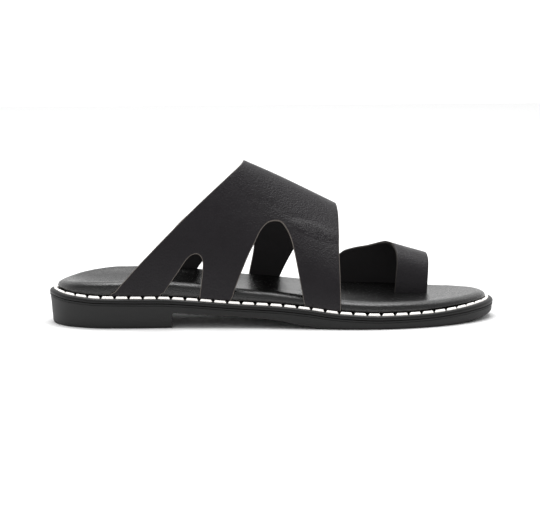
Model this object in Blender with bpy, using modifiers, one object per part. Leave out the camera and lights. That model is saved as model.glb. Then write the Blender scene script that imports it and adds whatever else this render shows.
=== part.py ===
"""A right-foot leather slide sandal with a cut-out instep strap and a big-toe loop.

Metres. +X runs from heel to toe, +Y to the medial (big toe) side, +Z up.
The origin is on the floor under the middle of the sole's own box.
"""

import math

import bmesh
import bpy
import numpy as np
from mathutils import Vector
from mathutils.geometry import delaunay_2d_cdt

# Whole shoe
SOLE_LENGTH = 0.262
BALL_WIDTH = 0.095
CLEARANCE = 0.0003

# Outsole
HEEL_SIDE = 0.0146
FOREFOOT_SIDE = 0.0050
HEEL_BACK_RISE = 0.0018
TOE_SPRING = 0.0055
WAIST_GAP = 0.0088
HEEL_BLOCK_LENGTH = 0.0700
SIDE_DRAFT = 0.10
SIDE_INSET = 0.0001
SIDE_EDGE_ROUND = 0.0012
GROOVE_INSET = 0.0019
TREAD_DEPTH = 0.0012
TREAD_SLOT_WIDTH = 0.0022
TREAD_SLOT_PITCH = 0.0090
TREAD_SLOT_MARGIN = 0.0120
HEEL_SLOTS = 4
FOREFOOT_SLOTS = 7
FOREFOOT_SLOTS_START = 0.0330

# Welt
WELT_THICKNESS = 0.0029
WELT_WIDTH = 0.0087
THREAD_INSET = 0.0036
THREAD_DIAMETER = 0.0017
THREAD_SEAT = 0.0004

# Footbed
FOOTBED_INSET = 0.0048
FOOTBED_HEEL_THICKNESS = 0.0092
FOOTBED_TOE_THICKNESS = 0.0052
FOOTBED_RIM_ROUND = 0.0030
HEEL_CUP_DEPTH = 0.0028
ARCH_SUPPORT_RISE = 0.0024

# Upper
LEATHER = 0.0015
TAB_LENGTH = 0.0100
FOLD_RADIUS = 0.0006
TAB_ROOM = 0.0006
CREST_REAR_HEIGHT = 0.0935
CREST_FRONT_HEIGHT = 0.0675
CREST_REAR_ALONG = -0.0170
CREST_FRONT_ALONG = 0.0370
CREST_REAR_ACROSS = 0.0030
CREST_FRONT_ACROSS = 0.0050
CREST_BOW = 0.0005
CREST_BEND = 0.0030
ARCH_ROUNDNESS = 0.86
STRAP_PEAK = 0.50

# Toe loop
LOOP_SLOT_ACROSS = 0.0040
LOOP_SLOT_REAR = 0.0742
LOOP_WIDTH_AT_SLOT = 0.0186
LOOP_CREST_ACROSS = 0.0240
LOOP_PEAK = 0.0
LOOP_REAR_HEIGHT = 0.0406
LOOP_FRONT_HEIGHT = 0.0350

# Mesh fineness
OUTLINE_STEPS = 44
CAP_COLUMNS = 8
LEATHER_MESH = 0.0052
EDGE_MESH = 0.0036

# Plan outline of the welt's outer edge: shares of SOLE_LENGTH and BALL_WIDTH,
# from the heel's back along the lateral side to the toe tip and back.
OUTLINE = (
    # along, across
    (-0.500, -0.005),
    (-0.475, -0.190),
    (-0.412, -0.305),
    (-0.324, -0.337),
    (-0.191, -0.342),
    (-0.057, -0.379),
    (0.057, -0.442),
    (0.172, -0.493),
    (0.275, -0.482),
    (0.374, -0.396),
    (0.447, -0.262),
    (0.489, -0.118),
    (0.500, 0.020),
    (0.486, 0.172),
    (0.434, 0.324),
    (0.336, 0.442),
    (0.221, 0.500),
    (0.107, 0.479),
    (-0.030, 0.379),
    (-0.172, 0.310),
    (-0.313, 0.318),
    (-0.412, 0.284),
    (-0.475, 0.168),
)

# Height of the groove between side and welt, along the sole: shares of SOLE_LENGTH,
# of the drop from heel to forefoot, of the rise at the heel's back and of the toe spring.
GROOVE_LINE = (
    # along, heel, back, spring
    (-0.500, 1.00, 1.00, 0.00),
    (-0.450, 1.00, 0.45, 0.00),
    (-0.400, 1.00, 0.05, 0.00),
    (-0.267, 0.97, 0.00, 0.00),
    (-0.191, 0.85, 0.00, 0.00),
    (-0.095, 0.65, 0.00, 0.00),
    (0.000, 0.53, 0.00, 0.00),
    (0.057, 0.39, 0.00, 0.00),
    (0.134, 0.13, 0.00, 0.00),
    (0.229, 0.00, 0.00, 0.00),
    (0.324, 0.00, 0.00, 0.05),
    (0.401, 0.00, 0.00, 0.24),
    (0.458, 0.00, 0.00, 0.44),
    (0.500, 0.00, 0.00, 0.62),
)

# Underside of the toe: shares of SOLE_LENGTH and of the toe spring.
TREAD_LINE = (
    # along, spring
    (-0.500, 0.00),
    (0.267, 0.00),
    (0.344, 0.00),
    (0.412, 0.07),
    (0.450, 0.20),
    (0.473, 0.35),
    (0.500, 0.65),
)

# Underside of the waist from the heel's breast to the ball: shares of SOLE_LENGTH and WAIST_GAP.
WAIST_LINE = (
    # along, gap
    (-0.160, 0.86),
    (-0.057, 0.70),
    (0.000, 0.52),
    (0.050, 0.26),
    (0.095, 0.09),
    (0.145, 0.00),
)

# Footbed along the shoe: shares of SOLE_LENGTH, of the step from toe to heel thickness,
# of the heel cup's depth and of the medial arch support.
FOOTBED_LINE = (
    # along, heel, cup, arch
    (-0.500, -0.15, 0.60, 0.00),
    (-0.440, 0.40, 1.00, 0.60),
    (-0.340, 1.00, 1.00, 1.00),
    (-0.190, 1.00, 0.80, 1.00),
    (-0.050, 0.65, 0.40, 0.60),
    (0.080, 0.42, 0.28, 0.10),
    (0.230, 0.40, 0.32, 0.00),
    (0.380, 0.25, 0.22, 0.00),
    (0.500, 0.00, 0.05, 0.00),
)

# Cut edges of the strap seen from the side: shares of SOLE_LENGTH from the middle, and
# of the crest's rear height above the floor.
LATERAL_REAR_EDGE = (
    # along, up
    (-0.3670, 0.187),
    (-0.3555, 0.233),
    (-0.3300, 0.314),
    (-0.3010, 0.402),
    (-0.2336, 0.590),
    (-0.1650, 0.765),
    (-0.1044, 0.906),
    (-0.0692, 0.984),
    (-0.0647, 1.000),
)
MEDIAL_REAR_EDGE = (
    # along, up
    (-0.318, 0.187),
    (-0.305, 0.240),
    (-0.278, 0.330),
    (-0.204, 0.586),
    (-0.110, 0.813),
    (-0.072, 0.915),
    (-0.0647, 1.000),
)
FRONT_EDGE = (
    # along, up
    (0.1415, 0.722),
    (0.1423, 0.660),
    (0.1397, 0.555),
    (0.1368, 0.449),
    (0.1361, 0.130),
)
LATERAL_SMALL_CUT = (
    # along, up
    (-0.2570, 0.187),
    (-0.2497, 0.220),
    (-0.2170, 0.352),
    (-0.1980, 0.425),
    (-0.1880, 0.446),
    (-0.1775, 0.452),
    (-0.1690, 0.438),
    (-0.1648, 0.405),
    (-0.1675, 0.290),
    (-0.1722, 0.187),
)
LATERAL_LARGE_CUT = (
    # along, up
    (-0.1020, 0.157),
    (-0.0932, 0.242),
    (-0.0638, 0.439),
    (-0.0493, 0.515),
    (-0.0347, 0.588),
    (-0.0183, 0.632),
    (-0.0046, 0.641),
    (0.0103, 0.634),
    (0.0221, 0.592),
    (0.0314, 0.532),
    (0.0377, 0.452),
    (0.0464, 0.312),
    (0.0576, 0.138),
)
MEDIAL_REAR_CUT = (
    # along, up
    (-0.182, 0.187),
    (-0.169, 0.260),
    (-0.152, 0.328),
    (-0.118, 0.433),
    (-0.088, 0.502),
    (-0.062, 0.521),
    (-0.0425, 0.502),
    (-0.0335, 0.433),
    (-0.0425, 0.256),
    (-0.0480, 0.167),
)
MEDIAL_FRONT_CUT = (
    # along, up
    (0.0225, 0.148),
    (0.0269, 0.198),
    (0.0590, 0.380),
    (0.0703, 0.437),
    (0.0797, 0.463),
    (0.0877, 0.453),
    (0.0932, 0.397),
    (0.0944, 0.138),
)

# Cut edges of the toe loop: shares of SOLE_LENGTH from the middle, and of its rear crest
# height above the floor, first up the inner leg, over the crest, then down the medial side.
LOOP_REAR_INNER = (
    # along, up
    (0.2765, 0.250),
    (0.2810, 0.550),
    (0.2850, 0.760),
    (0.2840, 0.900),
    (0.2780, 0.985),
    (0.2700, 1.020),
)
LOOP_REAR_OUTER = (
    # along, up
    (0.261, 0.990),
    (0.232, 0.920),
    (0.200, 0.873),
    (0.174, 0.812),
    (0.157, 0.655),
    (0.152, 0.420),
    (0.150, 0.300),
)
LOOP_FRONT_INNER = (
    # along, up
    (0.3505, 0.250),
    (0.3550, 0.550),
    (0.3590, 0.760),
    (0.3590, 0.840),
)
LOOP_FRONT_OUTER = (
    # along, up
    (0.3575, 0.840),
    (0.3530, 0.735),
    (0.341, 0.560),
    (0.330, 0.400),
    (0.322, 0.280),
)


def smooth_curve(rows, steps):
    """Points on a smooth curve through the rows, which need not be evenly spaced."""
    points = np.array(rows, float)
    before = 2 * points[0] - points[1]
    after = 2 * points[-1] - points[-2]
    points = np.vstack([before, points, after])
    pieces = [points[1:2]]
    for p0, p1, p2, p3 in zip(points, points[1:], points[2:], points[3:]):
        d01, d12, d23 = (math.sqrt(np.linalg.norm(b - a)) for a, b in ((p0, p1), (p1, p2), (p2, p3)))
        start = p2 - p1 + d12 * ((p1 - p0) / d01 - (p2 - p0) / (d01 + d12))
        end = p2 - p1 + d12 * ((p3 - p2) / d23 - (p3 - p1) / (d12 + d23))
        t = np.linspace(0, 1, steps + 1)[1:, None]
        pieces.append(
            (2 * t**3 - 3 * t**2 + 1) * p1
            + (t**3 - 2 * t**2 + t) * start
            + (3 * t**2 - 2 * t**3) * p2
            + (t**3 - t**2) * end
        )
    return np.vstack(pieces)


def spaced(points, count):
    """The same line as count + 1 points at even distances."""
    lengths = np.concatenate([[0], np.cumsum(np.linalg.norm(np.diff(points, axis=0), axis=1))])
    wanted = np.linspace(0, lengths[-1], count + 1)
    return np.column_stack([np.interp(wanted, lengths, column) for column in points.T])


def value_along(rows, column, x):
    """A column of a table at x, as a smooth line that never overshoots its rows."""
    table = np.array(rows, float)
    at, y = table[:, 0] * SOLE_LENGTH, table[:, column]
    step = np.diff(at)
    slope = np.diff(y) / step
    tangent = np.zeros(len(at))
    rising = slope[:-1] * slope[1:] > 0
    pairs = slope[:-1][rising], slope[1:][rising]
    tangent[1:-1][rising] = 2 * pairs[0] * pairs[1] / (pairs[0] + pairs[1])
    tangent[0], tangent[-1] = slope[0], slope[-1]
    x = np.clip(x, at[0], at[-1])
    i = np.clip(np.searchsorted(at, x) - 1, 0, len(at) - 2)
    t = (x - at[i]) / step[i]
    return (
        (2 * t**3 - 3 * t**2 + 1) * y[i]
        + (t**3 - 2 * t**2 + t) * step[i] * tangent[i]
        + (3 * t**2 - 2 * t**3) * y[i + 1]
        + (t**3 - t**2) * step[i] * tangent[i + 1]
    )


def groove_height(x):
    """Height of the groove between the sole's side and the welt."""
    return (
        FOREFOOT_SIDE
        + value_along(GROOVE_LINE, 1, x) * (HEEL_SIDE - FOREFOOT_SIDE)
        + value_along(GROOVE_LINE, 2, x) * HEEL_BACK_RISE
        + value_along(GROOVE_LINE, 3, x) * TOE_SPRING
    )


def tread_height(x):
    """Height of the underside at heel, ball and toe, without the waist's arch."""
    return value_along(TREAD_LINE, 1, x) * TOE_SPRING


def seat_height(x):
    """Top of the welt, which the footbed and the folded leather lie on."""
    return groove_height(x) + WELT_THICKNESS


def footbed_rim_height(x):
    """Top of the footbed at its edge, before the medial arch support."""
    heel = value_along(FOOTBED_LINE, 1, x)
    return seat_height(x) + FOOTBED_TOE_THICKNESS + heel * (FOOTBED_HEEL_THICKNESS - FOOTBED_TOE_THICKNESS)


def sole_outline():
    """The welt's outer edge, from the heel's back by the lateral side to the toe and back."""
    closed = np.array(OUTLINE + OUTLINE[:3], float) * (SOLE_LENGTH, BALL_WIDTH)
    line = smooth_curve(closed, 12)
    line = line[12:-12 - 1]
    low, high = line.min(0), line.max(0)
    size = np.array([SOLE_LENGTH, BALL_WIDTH])
    line = (line - (low + high) / 2) * size / (high - low)
    heel, toe = line[:, 0].argmin(), line[:, 0].argmax()
    line = np.roll(line, -heel, axis=0)
    toe = (toe - heel) % len(line)
    lateral = spaced(line[: toe + 1], OUTLINE_STEPS)
    medial = spaced(np.vstack([line[toe:], line[:1]]), OUTLINE_STEPS)
    return np.vstack([lateral[:-1], medial[:-1]])


def inset_outline(inset):
    """The sole's outline moved in by inset."""
    outline = sole_outline()
    tangent = np.roll(outline, -1, axis=0) - np.roll(outline, 1, axis=0)
    tangent /= np.linalg.norm(tangent, axis=1)[:, None]
    inward = np.column_stack([-tangent[:, 1], tangent[:, 0]])
    return outline + inward * np.reshape(inset, (-1, 1))


def edge_across(x, inset, side):
    """Y of the outline, moved in by inset, at x. side is -1 for lateral and 1 for medial."""
    ring = inset_outline(inset)
    half = ring[: OUTLINE_STEPS + 1] if side < 0 else np.vstack([ring[OUTLINE_STEPS:], ring[:1]])[::-1]
    return np.interp(x, half[:, 0], half[:, 1])


def new_material(name, colour, roughness):
    """A plain Principled material."""
    material = bpy.data.materials.new(name)
    material.use_nodes = True
    shader = material.node_tree.nodes["Principled BSDF"]
    shader.inputs["Base Color"].default_value = (*colour, 1)
    shader.inputs["Roughness"].default_value = roughness
    shader.inputs["Metallic"].default_value = 0
    return material


def new_object(name, mesh, collection, material=None):
    """An object for a mesh, linked to its collection and shaded smooth."""
    thing = bpy.data.objects.new(name, mesh)
    collection.objects.link(thing)
    if material:
        mesh.materials.append(material)
    mesh.shade_smooth()
    mesh.set_sharp_from_angle(angle=math.radians(40))
    return thing


def mesh_from(points, faces, name):
    """A mesh with its faces turned outwards."""
    mesh = bpy.data.meshes.new(name)
    mesh.from_pydata([tuple(p) for p in points], [], faces)
    work = bmesh.new()
    work.from_mesh(mesh)
    bmesh.ops.recalc_face_normals(work, faces=work.faces)
    work.to_mesh(mesh)
    work.free()
    return mesh


def cap_between(points, faces, ring, height):
    """Closes a ring with rows of faces across it. height gives Z at x and the share across."""
    rows = []
    count = 2 * OUTLINE_STEPS
    for step in range(1, OUTLINE_STEPS):
        left, right = points[ring + step], points[ring + count - step]
        row = [ring + step]
        for column in range(1, CAP_COLUMNS):
            share = column / CAP_COLUMNS
            x, y = (left * (1 - share) + right * share)[:2]
            row.append(len(points))
            points.append(np.array([x, y, height(x, share)]))
        rows.append(row + [ring + count - step])
    for low, high in zip(rows, rows[1:]):
        for column in range(CAP_COLUMNS):
            faces.append((low[column], high[column], high[column + 1], low[column + 1]))
    for column in range(CAP_COLUMNS):
        faces.append((ring, rows[0][column], rows[0][column + 1]))
        faces.append((ring + OUTLINE_STEPS, rows[-1][column + 1], rows[-1][column]))


def ring_points(inset, height):
    """One ring of the sole: the outline moved in by inset, at a height that is a function of x."""
    flat = inset_outline(inset)
    return [np.array([x, y, z]) for (x, y), z in zip(flat, height(flat[:, 0]))]


def ring_faces(first, second):
    """The faces between two rings of points."""
    count = 2 * OUTLINE_STEPS
    return [
        (first + i, first + (i + 1) % count, second + (i + 1) % count, second + i)
        for i in range(count)
    ]


def stacked_mesh(name, rings, bottom, top):
    """A closed mesh of rings from bottom to top. Each ring is an inset and a height function."""
    points, faces, count = [], [], 2 * OUTLINE_STEPS
    for inset, height in rings:
        points.extend(ring_points(inset, height))
    for i in range(len(rings) - 1):
        faces.extend(ring_faces(i * count, (i + 1) * count))
    cap_between(points, faces, 0, bottom)
    cap_between(points, faces, (len(rings) - 1) * count, top)
    return mesh_from(points, faces, name)


def hollow_ring_mesh(name, section):
    """A closed ring whose cross-section is a loop of insets and height functions."""
    points, faces, count = [], [], 2 * OUTLINE_STEPS
    for inset, height in section:
        points.extend(ring_points(inset, height))
    for i in range(len(section)):
        faces.extend(ring_faces(i * count, (i + 1) % len(section) * count))
    return mesh_from(points, faces, name)


def cut(thing, cutter):
    """Takes the cutter out of a solid, and hides the cutter."""
    cutter.hide_render = True
    cutter.display_type = "WIRE"
    modifier = thing.modifiers.new("cut_" + cutter.name, "BOOLEAN")
    modifier.operation = "DIFFERENCE"
    modifier.solver = "EXACT"
    modifier.object = cutter


def upright_prism(name, side_view, half_width, collection):
    """A cutter with an outline in XZ, run across the shoe."""
    curve = bpy.data.curves.new(name, "CURVE")
    curve.dimensions = "2D"
    curve.fill_mode = "BOTH"
    curve.extrude = half_width
    spline = curve.splines.new("POLY")
    spline.points.add(len(side_view) - 1)
    for point, (x, z) in zip(spline.points, side_view):
        point.co = (x, z, 0, 1)
    spline.use_cyclic_u = True
    return as_mesh_object(name, curve, (math.radians(90), 0, 0), collection)


def as_mesh_object(name, curve, rotation, collection):
    """Turns a filled curve into a closed mesh object, placed in world space."""
    guide = bpy.data.objects.new(name + "_guide", curve)
    collection.objects.link(guide)
    guide.rotation_euler = rotation
    bpy.context.view_layer.update()
    graph = bpy.context.evaluated_depsgraph_get()
    mesh = bpy.data.meshes.new_from_object(guide.evaluated_get(graph))
    mesh.transform(guide.matrix_world)
    bpy.data.objects.remove(guide)
    work = bmesh.new()
    work.from_mesh(mesh)
    bmesh.ops.remove_doubles(work, verts=work.verts, dist=1e-6)
    bmesh.ops.recalc_face_normals(work, faces=work.faces)
    work.to_mesh(mesh)
    work.free()
    thing = bpy.data.objects.new(name, mesh)
    collection.objects.link(thing)
    return thing


def box_cutter(name, low, high, collection):
    """A block cutter between two corners."""
    bpy.ops.mesh.primitive_cube_add(size=1)
    thing = bpy.context.object
    thing.name = name
    low, high = Vector(low), Vector(high)
    for vertex in thing.data.vertices:
        vertex.co = Vector(a * b for a, b in zip(vertex.co, high - low)) + (low + high) / 2
    for owner in thing.users_collection:
        owner.objects.unlink(thing)
    collection.objects.link(thing)
    return thing


def build_outsole(collection, cutters, material):
    """The moulded rubber unit: heel block, arched waist, forefoot and the seat for the welt."""

    def side(share, lift=0.0):
        def height(x):
            low, high = tread_height(x), groove_height(x)
            return low + share * (high - low) + lift

        return height

    outline = sole_outline()
    drop = groove_height(outline[:, 0]) - tread_height(outline[:, 0])
    foot_inset = SIDE_INSET + SIDE_DRAFT * drop
    edge = SIDE_EDGE_ROUND
    rings = [
        (foot_inset + edge * 2.5, side(0)),
        (foot_inset + edge, side(0)),
        (foot_inset + edge * 0.3, side(0, edge * 0.3)),
        (foot_inset, side(0, edge)),
        (SIDE_INSET + SIDE_DRAFT * drop / 2, side(0.55)),
        (SIDE_INSET, side(1, -edge * 0.5)),
        (SIDE_INSET + edge * 0.3, side(1, -edge * 0.12)),
        (GROOVE_INSET, side(1)),
        (WELT_WIDTH + CLEARANCE, side(1)),
        (WELT_WIDTH + CLEARANCE, side(1, WELT_THICKNESS)),
    ]
    mesh = stacked_mesh(
        "outsole", rings, lambda x, share: tread_height(x), lambda x, share: seat_height(x)
    )
    outsole = new_object("outsole", mesh, collection, material)

    breast = HEEL_BLOCK_LENGTH - SOLE_LENGTH / 2
    arch = smooth_curve(np.array([(breast / SOLE_LENGTH, 1)] + list(WAIST_LINE)), 4)
    arch = arch * (SOLE_LENGTH, WAIST_GAP)
    below = -WAIST_GAP
    profile = [(breast, below)] + [tuple(p) for p in arch] + [(arch[-1][0] + WAIST_GAP, below)]
    cut(outsole, upright_prism("waist_arch", profile, BALL_WIDTH, cutters))

    starts = [-SOLE_LENGTH / 2 + TREAD_SLOT_MARGIN + i * TREAD_SLOT_PITCH for i in range(HEEL_SLOTS)]
    starts += [FOREFOOT_SLOTS_START + i * TREAD_SLOT_PITCH for i in range(FOREFOOT_SLOTS)]
    for index, start in enumerate(starts):
        end = start + TREAD_SLOT_WIDTH
        low = edge_across(start, WELT_WIDTH, -1), edge_across(end, WELT_WIDTH, -1)
        high = edge_across(start, WELT_WIDTH, 1), edge_across(end, WELT_WIDTH, 1)
        depth = TREAD_DEPTH + tread_height(np.array([start]))[0]
        block = box_cutter(
            f"tread_slot_{index}", (start, max(low), -TREAD_DEPTH), (end, min(high), depth), cutters
        )
        cut(outsole, block)
    return outsole


def build_welt(collection, material):
    """The rounded bead round the sole, with the seat of the welt thread."""
    seat_half = THREAD_DIAMETER / 2 + CLEARANCE / 2
    groove = groove_height

    def at(share):
        return lambda x: groove(x) + CLEARANCE + share * (WELT_THICKNESS - CLEARANCE)

    section = [
        (WELT_WIDTH, at(0)),
        (GROOVE_INSET, at(0)),
        (GROOVE_INSET * 0.3, at(0.16)),
        (0.0, at(0.45)),
        (GROOVE_INSET * 0.2, at(0.80)),
        (GROOVE_INSET * 0.7, at(1)),
        (THREAD_INSET - seat_half, at(1)),
        (THREAD_INSET, lambda x: groove(x) + WELT_THICKNESS - THREAD_SEAT),
        (THREAD_INSET + seat_half, at(1)),
        (WELT_WIDTH, at(1)),
    ]
    return new_object("welt", hollow_ring_mesh("welt", section), collection, material)


class Leather:
    """A sheet of leather laid over an arch that stands on the footbed's edge or in its slot.

    A place on it is x along the shoe and a signed distance round the arch: 0 at the crest,
    negative on the lateral side. Past the foot of the arch the sheet folds under the footbed.
    """

    SECTION_STEPS = 64

    def __init__(self, foot_y, crest, fold_direction, peak):
        """foot_y(x, side) is the arch's foot, crest(x) its Y and Z, fold_direction(side) the way it folds.

        peak is the share of a narrow ridge in the arch's section: 0 gives a round arch.
        """
        self.foot_y = foot_y
        self.crest = crest
        self.fold_direction = fold_direction
        self.peak = peak
        self.fold_lines = []

    def foot_height(self, x):
        """The inner face's lowest upright point, above the fold."""
        return seat_height(x) + CLEARANCE + LEATHER + FOLD_RADIUS

    def half_section(self, x, side):
        """Distance from the crest, Y and Z along one half of the arch at x."""
        angle = np.linspace(math.pi / 2, 0, self.SECTION_STEPS)
        crest_y, crest_z = self.crest(x)
        foot_z = self.foot_height(x)
        span = self.foot_y(x, side) - crest_y
        across = np.maximum(np.cos(angle), 0)
        y = crest_y + span * ((1 - self.peak) * across**ARCH_ROUNDNESS + self.peak * across**3)
        z = foot_z + (crest_z - foot_z) * np.sin(angle)
        step = np.hypot(np.diff(y), np.diff(z))
        return np.concatenate([[0], np.cumsum(step)]), y, z

    def distance_at(self, x, z, side):
        """Signed distance round the arch of the point at height z."""
        distance, _, heights = self.half_section(x, side)
        foot = heights[-1]
        if z < foot:
            return side * (distance[-1] + foot - z)
        return side * float(np.interp(-z, -heights, distance))

    def place(self, x, distance):
        """The point in space for a place on the sheet."""
        side = -1 if distance < 0 else 1
        distances, ys, zs = self.half_section(x, side)
        past = abs(distance) - distances[-1]
        if past <= 0:
            y = np.interp(abs(distance), distances, ys)
            z = np.interp(abs(distance), distances, zs)
            return Vector((x, y, z))
        quarter = FOLD_RADIUS * math.pi / 2
        inward = self.fold_direction(side)
        turn = min(past, quarter) / FOLD_RADIUS
        y = ys[-1] + inward * FOLD_RADIUS * (1 - math.cos(turn))
        z = zs[-1] - FOLD_RADIUS * math.sin(turn)
        return Vector((x, y + inward * max(past - quarter, 0), z))

    def edge_line(self, rows, height, side):
        """A cut edge given from the side, as places on the sheet, running on into the fold."""
        line = smooth_curve(np.array(rows, float) * (SOLE_LENGTH, height), 6)
        line = spaced(line, max(2, round(line_length(line) / EDGE_MESH)))
        return [(x, self.distance_at(x, z, side)) for x, z in line]

    def tab_end(self, x, side):
        """The place where a folded tab ends."""
        distance, _, _ = self.half_section(x, side)
        return (x, side * (distance[-1] + FOLD_RADIUS * math.pi / 2 + TAB_LENGTH))

    def fold_rows(self, x, side):
        """Places along a tab's side, from the arch's foot to the tab's end."""
        distance, _, _ = self.half_section(x, side)
        quarter = FOLD_RADIUS * math.pi / 2
        past = [0, quarter / 2, quarter, quarter + TAB_LENGTH / 2, quarter + TAB_LENGTH]
        return [(x, side * (distance[-1] + p)) for p in past]

    def add_fold(self, x_from, x_to, side):
        """Keeps the lines of one tab's fold, so that the mesh bends along them."""
        count = max(1, round(abs(x_to - x_from) / LEATHER_MESH))
        rows = [self.fold_rows(x, side)[:3] for x in np.linspace(x_from, x_to, count + 1)]
        self.fold_lines.extend(zip(*rows))

    def add_crest(self, x_from, x_to):
        """Keeps lines along the crest, where the sheet bends most."""
        count = max(1, round(abs(x_to - x_from) / LEATHER_MESH))
        stations = np.linspace(x_from, x_to, count + 1)[1:-1]
        for distance in (-CREST_BEND, 0.0, CREST_BEND):
            self.fold_lines.append([(x, distance) for x in stations])


def line_length(points):
    """Length of a line of points."""
    return float(np.linalg.norm(np.diff(points, axis=0), axis=1).sum())


def inside(point, loop):
    """Whether a point lies in a closed loop."""
    x, y = point
    answer = False
    for (x0, y0), (x1, y1) in zip(loop, loop[1:] + loop[:1]):
        if (y0 > y) != (y1 > y) and x < x0 + (y - y0) * (x1 - x0) / (y1 - y0):
            answer = not answer
    return answer


def distance_to(point, loop):
    """Distance from a point to the nearest point of a closed loop."""
    start = np.array(loop)
    step = np.roll(start, -1, axis=0) - start
    offset = np.array(point) - start
    share = np.clip((offset * step).sum(1) / np.maximum((step**2).sum(1), 1e-18), 0, 1)
    return float(np.linalg.norm(offset - step * share[:, None], axis=1).min())


def cut_leather(name, sheet, loop, collection, material):
    """Fills a cut outline with triangles, lays it over the arch and gives it the leather's thickness."""
    low, high = np.min(loop, axis=0), np.max(loop, axis=0)
    flat = list(loop)
    border = [(i, (i + 1) % len(loop)) for i in range(len(loop))]
    for line in sheet.fold_lines:
        border.extend((len(flat) + i, len(flat) + i + 1) for i in range(len(line) - 1))
        flat.extend(line)
    row_step = LEATHER_MESH * math.sqrt(3) / 2
    for row, y in enumerate(np.arange(low[1], high[1], row_step)):
        for x in np.arange(low[0] + (row % 2) * LEATHER_MESH / 2, high[0], LEATHER_MESH):
            lines = [loop] + [list(line) for line in sheet.fold_lines]
            if inside((x, y), loop) and min(distance_to((x, y), line) for line in lines) > LEATHER_MESH * 0.5:
                flat.append((x, y))
    points, _, faces, _, _, _ = delaunay_2d_cdt([Vector(p) for p in flat], border, [], 1, 1e-7)
    mesh = bpy.data.meshes.new(name)
    mesh.from_pydata([sheet.place(p.x, p.y) for p in points], [], faces)
    mesh.update()
    middle = np.mean([v.co.z for v in mesh.vertices])
    if sum(f.normal.z * f.area for f in mesh.polygons if f.center.z > middle) < 0:
        mesh.flip_normals()
    thing = new_object(name, mesh, collection, material)
    wall = thing.modifiers.new("wall", "SOLIDIFY")
    wall.thickness = LEATHER
    wall.offset = 1
    wall.use_even_offset = True
    return thing


def joined_edges(sheet, pieces):
    """One closed loop of places from cut edges and the tabs between them."""
    loop = []
    for piece in pieces:
        for place in piece:
            if not loop or math.dist(place, loop[-1]) > EDGE_MESH * 0.1:
                loop.append(place)
    if math.dist(loop[0], loop[-1]) <= EDGE_MESH * 0.1:
        loop.pop()
    return loop


def above_foot(sheet, line, side):
    """The part of a cut edge that is above the arch's foot."""
    kept = []
    for x, distance in line:
        limit = sheet.half_section(x, side)[0][-1]
        if abs(distance) < limit - EDGE_MESH * 0.3:
            kept.append((x, distance))
    return kept


def across_tab(sheet, x_from, x_to, side):
    """Places along a tab's end."""
    count = max(1, round(abs(x_to - x_from) / LEATHER_MESH))
    return [sheet.tab_end(x, side) for x in np.linspace(x_from, x_to, count + 1)]


def leg(sheet, edge_in, edge_out, side):
    """Down one cut edge, round the folded tab and up the next edge."""
    down = above_foot(sheet, edge_in, side)
    up = above_foot(sheet, edge_out, side)
    x_in, x_out = edge_in[-1][0], edge_out[0][0]
    sheet.add_fold(x_in, x_out, side)
    end = across_tab(sheet, x_in, x_out, side)
    return down + sheet.fold_rows(x_in, side) + end + sheet.fold_rows(x_out, side)[::-1] + up


def upper_sheet():
    """The instep arch that the main strap is laid over."""
    gap = FOOTBED_INSET - CLEARANCE
    lateral, medial = (inset_halves(gap, side) for side in (-1, 1))

    def foot_y(x, side):
        half = lateral if side < 0 else medial
        return float(np.interp(x, half[:, 0], half[:, 1]))

    def crest(x):
        share = (x - CREST_REAR_ALONG) / (CREST_FRONT_ALONG - CREST_REAR_ALONG)
        y = CREST_REAR_ACROSS + share * (CREST_FRONT_ACROSS - CREST_REAR_ACROSS)
        z = CREST_REAR_HEIGHT + share * (CREST_FRONT_HEIGHT - CREST_REAR_HEIGHT)
        return y, z + CREST_BOW * 4 * share * (1 - share) - LEATHER

    return Leather(foot_y, crest, lambda side: -side, STRAP_PEAK)


def inset_halves(inset, side):
    """The lateral or medial half of the outline moved in by inset, from heel to toe."""
    ring = inset_outline(inset)
    if side < 0:
        return ring[: OUTLINE_STEPS + 1]
    return np.vstack([ring[OUTLINE_STEPS:], ring[:1]])[::-1]


def build_upper(collection, material):
    """The instep strap: one piece of leather with three legs on each side."""
    sheet = upper_sheet()
    height = CREST_REAR_HEIGHT

    def edge(rows, side):
        return sheet.edge_line(rows, height, side)

    rear_up, rear_down = edge(LATERAL_REAR_EDGE, -1), edge(MEDIAL_REAR_EDGE, 1)[::-1]
    front_down, front_up = edge(FRONT_EDGE, -1), edge(FRONT_EDGE, 1)[::-1]
    small, large = edge(LATERAL_SMALL_CUT, -1)[::-1], edge(LATERAL_LARGE_CUT, -1)[::-1]
    back, front = edge(MEDIAL_REAR_CUT, 1), edge(MEDIAL_FRONT_CUT, 1)
    crest_rear, crest_front = (rear_up[-1][0], 0.0), (front_down[0][0], 0.0)
    sheet.add_crest(crest_rear[0], crest_front[0])
    loop = joined_edges(
        sheet,
        [
            [crest_rear],
            leg(sheet, rear_down, back, 1),
            leg(sheet, back, front, 1)[len(above_foot(sheet, back, 1)):],
            leg(sheet, front, front_up, 1)[len(above_foot(sheet, front, 1)):],
            [crest_front],
            leg(sheet, front_down, large, -1),
            leg(sheet, large, small, -1)[len(above_foot(sheet, large, -1)):],
            leg(sheet, small, rear_up, -1)[len(above_foot(sheet, small, -1)):],
        ],
    )
    return cut_leather("upper", sheet, loop, collection, material)


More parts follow.
